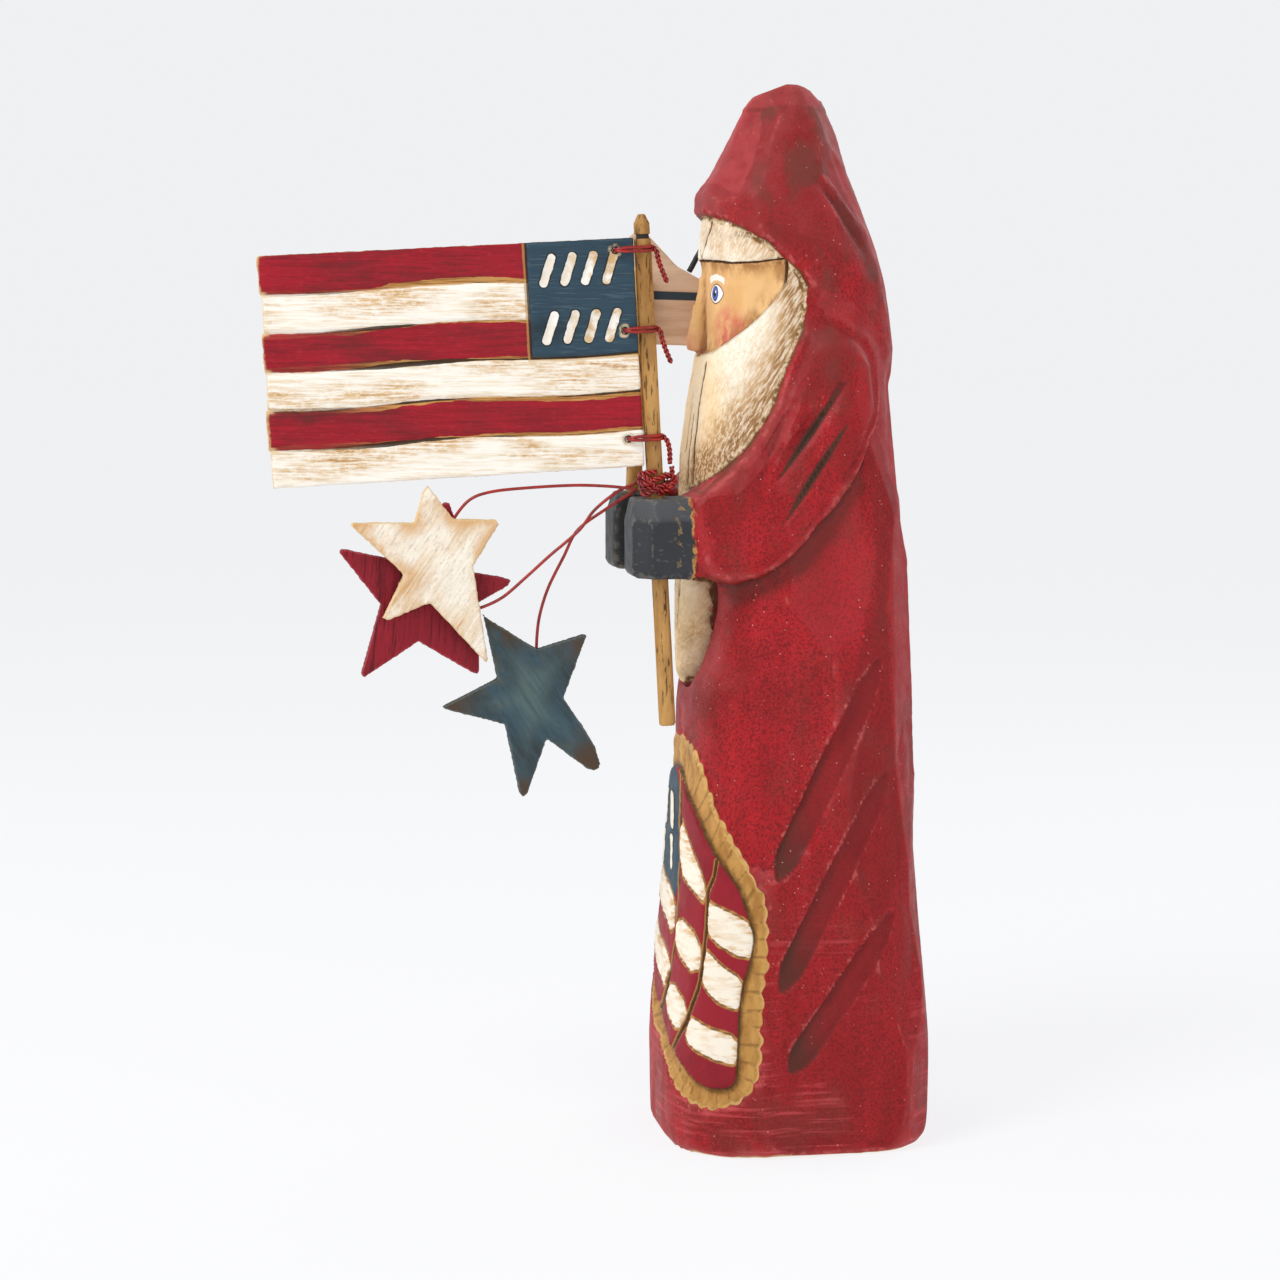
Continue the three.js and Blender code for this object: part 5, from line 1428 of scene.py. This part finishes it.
def dress_star(name):
    node = f"star_{name}"
    mesh = even_mesh(node, VOXELS["star"])
    corners = corners_of(mesh)
    _, y, z = (corners - np.array(GRIP)).T
    low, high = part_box(node)
    middle = (low[0] + high[0]) / 2 / MM
    depth = np.abs(corners[:, 0] - middle)
    edge = inside_field(y, z, STAR_OUTLINES[name])
    side = fade(edge, 0.5, 0.1) * fade(depth, 1.42, 1.1)
    saw = lattice_noise(np.stack([y * 1.0, z * 1.0, corners[:, 0] * 0.15], 1), 0.9, 21)
    shift = side * (saw * 0.2 - 0.16) - 0.14 * fade(edge, 0.8, 0.1) * fade(depth, 1.1, 1.45)
    slot, *_, lean = STAR_LOOKS[name]
    ahead = y * math.cos(lean) + z * math.sin(lean)
    beside = z * math.cos(lean) - y * math.sin(lean)
    grain = lattice_noise(np.stack([ahead, beside * 0.1, corners[:, 0] * 0], 1), 0.8, 25)
    shift += (1 - side) * 0.05 * grain
    set_corners(mesh, corners + normals_of(mesh) * shift[:, None], node)
    reach = np.hypot(y - y.mean(), z - z.mean())
    store(mesh, edge=edge, side=side, reach=reach)
    add_piece(f"{name}_star", mesh, star_material(name), node)


# The sticks

def stick_material():
    s = Shade("stick_wood", specular=0.2)
    grain = s.noise(300, 5, stretch=(1, 1, 0.1))
    flecks = s.noise(1100, 3, stretch=(1, 1, 0.16))
    patches = s.noise(90, 5, stretch=(1, 1, 0.4))
    colour = s.mix(s.fade(grain, 0.35, 0.7), (198, 152, 90), (168, 122, 64))
    colour = s.over(colour, (138, 96, 50), s.fade(patches, 0.44, 0.66), 0.65)
    colour = s.over(colour, (92, 62, 32), s.fade(flecks, 0.56, 0.64), s.fade(patches, 0.3, 0.6, 0.5, 1.0))
    colour = s.over(colour, (48, 44, 40), s.fade(s.field("ring"), 0.3, 0.7))
    height = s.math("SUBTRACT", grain, s.math("MULTIPLY", s.fade(flecks, 0.58, 0.68), 0.6))
    return s.finish(colour, s.fade(grain, 0.3, 0.7, 0.5, 0.7), height, 0.2)


def stick_mesh(length, below, grip, lean, profile, ring=None):
    """A stick as a fine lathe: profile gives the radius, and how faceted it is, at each height."""
    sides = STICK_SIDES
    heights, radii, shares = zip(*profile)
    even = np.round(np.linspace(0.25, length - 0.25, int(length / 0.8)), 3)
    levels = sorted({*even, 0, length, *heights})
    angles = np.arange(sides) * 2 * math.pi / sides
    facet = np.cos(math.pi / 7) / np.cos((angles % (2 * math.pi / 7)) - math.pi / 7)
    rows, marks = [], []
    for z in levels:
        faceted = np.interp(z, heights, shares)
        around = np.interp(z, heights, radii) * (1 - faceted + faceted * facet)
        level = np.full(sides, z - below)
        rows.append(np.stack([around * np.cos(angles), around * np.sin(angles), level], 1))
        marks.append(np.full(sides, 1.0 if ring and ring[0] < z < ring[1] else 0.0))
    corners = np.vstack(rows)
    wobble = 1 - 0.02 * (1 + lattice_noise(corners * np.array([1, 1, 0.15]), 2.4, 33))
    corners[:, :2] *= wobble[:, None]
    faces = ring_faces(len(levels), sides)
    faces.append(tuple(reversed(range(sides))))
    faces.append(tuple(range((len(levels) - 1) * sides, len(levels) * sides)))
    mesh = joined([(from_grip(corners, grip, lean), faces)])
    store(mesh, ring=np.concatenate(marks))
    return mesh


def dress_sticks():
    material = stick_material()
    top = POLE_LENGTH
    full = STICK_RADIUS
    pole = [(0, full * 0.9, 0.5), (0.6, full, 0.3), (3, full, 0), (top - 7.2, full, 0),
            (top - 7, full * 0.98, 0), (top - 6.7, full * 0.76, 0), (top - 5.7, full * 0.76, 0),
            (top - 5.4, full * 0.98, 0.4), (top - 5, full, 0.9), (top - 2.6, full, 1),
            (top - 0.25, full * 0.5, 1), (top, full * 0.38, 1)]
    mesh = stick_mesh(top, POLE_BELOW, GRIP, POLE_LEAN, pole, ring=(top - 6.75, top - 5.65))
    add_piece("flag_stick", mesh, material, "flag_pole")
    far = [(0, full * 0.9, 0.4), (0.6, full, 0), (FAR_LENGTH - 0.6, full, 0), (FAR_LENGTH, full * 0.85, 0.3)]
    mesh = stick_mesh(FAR_LENGTH, FAR_BELOW, FAR_GRIP, FAR_LEAN, far)
    add_piece("far_stick", mesh, material, "far_staff")


# The bare board and its peg

def board_material():
    s = Shade("bare_board", specular=0.2)
    grain = s.noise(300, 5, stretch=(1, 0.1, 1))
    colour = s.mix(s.fade(grain, 0.35, 0.7), (226, 198, 172), (202, 168, 138))
    colour = s.over(colour, (188, 148, 116), s.fade(s.noise(90, 4, stretch=(1, 0.2, 1)), 0.5, 0.7), 0.5)
    ragged = s.math("MULTIPLY", s.math("SUBTRACT", grain, 0.5), 0.5)
    band = s.math("ADD", s.math("ABSOLUTE", s.math("SUBTRACT", s.field("rise"), BAND_RISE)), ragged)
    colour = s.over(colour, (54, 68, 78), s.fade(band, 1.35, 1.15))
    return s.finish(colour, s.fade(grain, 0.3, 0.7, 0.6, 0.8), grain, 0.22)


def peg_material():
    s = Shade("black_paint", specular=0.4)
    colour = s.over((30, 30, 32), (84, 74, 62), s.fade(s.noise(300, 4), 0.6, 0.75), 0.5)
    return s.finish(colour, s.fade(s.noise(200, 3), 0.3, 0.7, 0.4, 0.6), s.noise(500, 3), 0.1)


def dress_board():
    mesh = even_mesh("house_board", VOXELS["board"])
    corners = corners_of(mesh)
    _, out, up = to_grip(corners, FAR_GRIP, FAR_LEAN)
    grain = lattice_noise(np.stack([corners[:, 0], out * 0.1, up], 1), 1.0, 41)
    set_corners(mesh, corners + normals_of(mesh) * (grain * 0.05 - 0.03)[:, None], "house_board")
    store(mesh, rise=up - BOARD_LOW)
    add_piece("bare_house_board", mesh, board_material(), "house_board")


def dress_peg():
    mesh = even_mesh("black_peg", VOXELS["peg"])
    corners = corners_of(mesh)
    shift = lattice_noise(corners, 1.2, 43) * 0.06 - 0.04
    set_corners(mesh, corners + normals_of(mesh) * shift[:, None], "black_peg")
    add_piece("roof_peg", mesh, peg_material(), "black_peg")


# The wires

def wire_material():
    s = Shade("red_wire", specular=0.5)
    tone = s.noise(260, 4)
    colour = s.mix(s.fade(tone, 0.35, 0.7), (166, 34, 26), (122, 24, 22))
    colour = s.over(colour, (84, 26, 24), s.fade(s.noise(600, 3), 0.62, 0.72), 0.7)
    # painted shade where a pair's two wires meet
    colour = s.over(colour, (40, 12, 12), s.field("between"), 0.9)
    return s.finish(colour, s.fade(tone, 0.3, 0.7, 0.28, 0.45), s.noise(900, 2), 0.04)


def tie_strands(along, down, bottom):
    """A doubled wire through the flag's hole and round the pole, with its ends twisted into a tail."""
    hole = -STICK_RADIUS - GAP - along
    beside = STICK_RADIUS + WIRE + 0.1
    rise = np.array([0, 0, FLAG_TOP - down])
    strands = []
    for offset, slack in ((0.55, 0.0), (-0.5, 0.25)):
        near = []
        for a in (28, 52, 74, 94):
            turn = math.radians(a)
            near.append((beside * math.sin(turn), beside * math.cos(turn), offset + 0.1 * math.sin(a)))
        near += [(2.9 + slack, hole * 0.45 - 1, offset * 0.95), (2.8 + slack * 0.5, hole + 1.2, offset * 0.6),
                 (2.2, hole + 0.2, offset * 0.35), (1.4, hole, offset * 0.3)]
        path = near + [(-x, y, z) for x, y, z in reversed(near)]
        strands.append(smooth_path(path, 0.4) + rise)
    tail = [(1.2, beside * 0.9, 0.3), (1.9, beside + 0.5, -0.9), (1.9, beside + 0.9, -3.2),
            (2.1, beside + 1.7, -6), (2.2, beside + 3.0, -9.6)]
    if bottom:
        tail = [(1.2, beside * 0.9, 0.3), (2.0, beside + 0.8, -1.2), (2.2, beside + 1.3, -4),
                (2.2, beside + 1.2, -7.5)]
    pair = [strand + rise for strand in twisted(tail, pitch=2.7)]
    return [[from_grip(strand, GRIP, POLE_LEAN) for strand in group] for group in (strands, pair)]


def bundle_strands():
    """The loose knot of twisted wire round the pole, above the mitten."""
    base = MITTEN_RISE + 1.3
    turns = 3
    coil = []
    for i in range(turns * 12 + 1):
        angle = i * 2 * math.pi / 12
        reach = STICK_RADIUS + GAP + 0.9 + 0.75 * math.sin(angle * 0.5) ** 2
        coil.append((reach * math.cos(angle), reach * math.sin(angle), base + 2.1 * angle / (2 * math.pi)))
    loops = [(2.4, 4.6, 7.2), (3.4, 4.4, 4.2), (3.9, 3.2, 1.2), (3.8, 0.4, 1.0), (3.7, -2.4, 4.2),
             (2.6, -4.2, 5.6), (0.6, -4.4, 5.0), (0.8, -4.6, 3.4), (3.0, -3.4, 2.9), (4.0, -0.6, 3.8),
             (4.2, 2.2, 5.0), (3.8, 4.4, 4.9), (3.4, 5.2, 3.2), (3.8, 4.0, 1.9), (4.1, 1.6, 2.2),
             (4.0, -1.0, 1.0), (3.0, -3.4, -0.2), (1.4, -4.0, 0.6)]
    pairs = (twisted(coil, pitch=3.0), twisted([(x, y, base + z) for x, y, z in loops], pitch=2.7))
    return [[from_grip(strand, GRIP, POLE_LEAN) for strand in pair] for pair in pairs]


def dress_wires():
    material = wire_material()
    for name, (along, down) in HOLES.items():
        singles, pair = tie_strands(along, down, name == "bottom")
        add_piece(f"tie_{name}", wire_mesh(singles, [pair]), material, f"tie_wire_{name}")
    add_piece("wire_knot", wire_mesh([], bundle_strands()), material, "wire_bundle")
    for name, points in STAR_WIRES.items():
        path = smooth_path(np.array(points) + np.array(GRIP), 0.6)
        add_piece(f"wire_to_{name}_star", wire_mesh([path]), material, f"star_wire_{name}")


# Camera, floor, walls and lamps

def link_new(name, data):
    made = bpy.data.objects.new(name, data)
    bpy.context.scene.collection.objects.link(made)
    return made


def place_camera():
    azimuth = math.radians(VIEW_AZIMUTH)
    rise = math.asin(VIEW_RISE / VIEW_DISTANCE)
    aside = Vector((math.cos(azimuth), math.sin(azimuth), 0))
    back = Vector((math.sin(azimuth) * math.cos(rise), -math.cos(azimuth) * math.cos(rise), math.sin(rise)))
    target = aside * AIM_ASIDE + Vector((0, 0, AIM_HEIGHT))
    camera = link_new("camera", bpy.data.cameras.new("camera"))
    camera.data.lens = LENS
    camera.data.sensor_width = SENSOR
    camera.location = (target + back * VIEW_DISTANCE) * MM
    camera.rotation_euler = back.to_track_quat("Z", "Y").to_euler()
    camera.data.clip_start = 0.01
    bpy.context.scene.camera = camera


def make_floor():
    mesh = bpy.data.meshes.new("floor")
    reach = FLOOR_REACH
    corners = [(-reach, -reach, 0), (reach, -reach, 0), (reach, reach, 0), (-reach, reach, 0)]
    mesh.from_pydata(corners, [], [(0, 1, 2, 3)])
    s = Shade("floor", specular=0.0)
    s.surface.inputs["Base Color"].default_value = (*FLOOR_TONE, 1)
    s.surface.inputs["Roughness"].default_value = FLOOR_ROUGHNESS
    s.surface.inputs["Emission Color"].default_value = (*WALL_TONE, 1)
    s.surface.inputs["Emission Strength"].default_value = FLOOR_GLOW
    mesh.materials.append(s.material)
    link_new("floor", mesh)


def make_walls():
    """Pale walls all round under a dim ceiling, so that the lamps above shape the carving."""
    world = bpy.data.worlds.new("studio")
    world.use_nodes = True
    tree = world.node_tree
    place = tree.nodes.new("ShaderNodeTexCoord").outputs["Generated"]
    height = tree.nodes.new("ShaderNodeSeparateXYZ")
    tree.links.new(place, height.inputs[0])
    share = tree.nodes.new("ShaderNodeMapRange")
    share.interpolation_type = "SMOOTHSTEP"
    share.inputs[1].default_value, share.inputs[2].default_value = WALL_TOP
    tree.links.new(height.outputs[2], share.inputs[0])
    mix = tree.nodes.new("ShaderNodeMix")
    mix.data_type = "RGBA"
    tree.links.new(share.outputs[0], mix.inputs[0])
    mix.inputs[6].default_value = (*WALL_TONE, 1)
    mix.inputs[7].default_value = (*CEILING_TONE, 1)
    tree.links.new(mix.outputs[2], tree.nodes["Background"].inputs["Color"])
    bpy.context.scene.world = world


def hang_lamps():
    for name, (place, size, power) in LAMPS.items():
        light = bpy.data.lights.new(name, "AREA")
        light.shape = "SQUARE"
        light.size = size
        light.energy = power
        lamp = link_new(name, light)
        lamp.location = place
        lamp.rotation_euler = (Vector(place) - Vector(LAMP_AIM)).to_track_quat("Z", "Y").to_euler()


place_camera()
make_floor()
make_walls()
hang_lamps()
bpy.context.scene.view_settings.view_transform = "Standard"
dress_figure()
dress_flag()
for star in STAR_OUTLINES:
    dress_star(star)
dress_sticks()
dress_board()
dress_peg()
dress_wires()
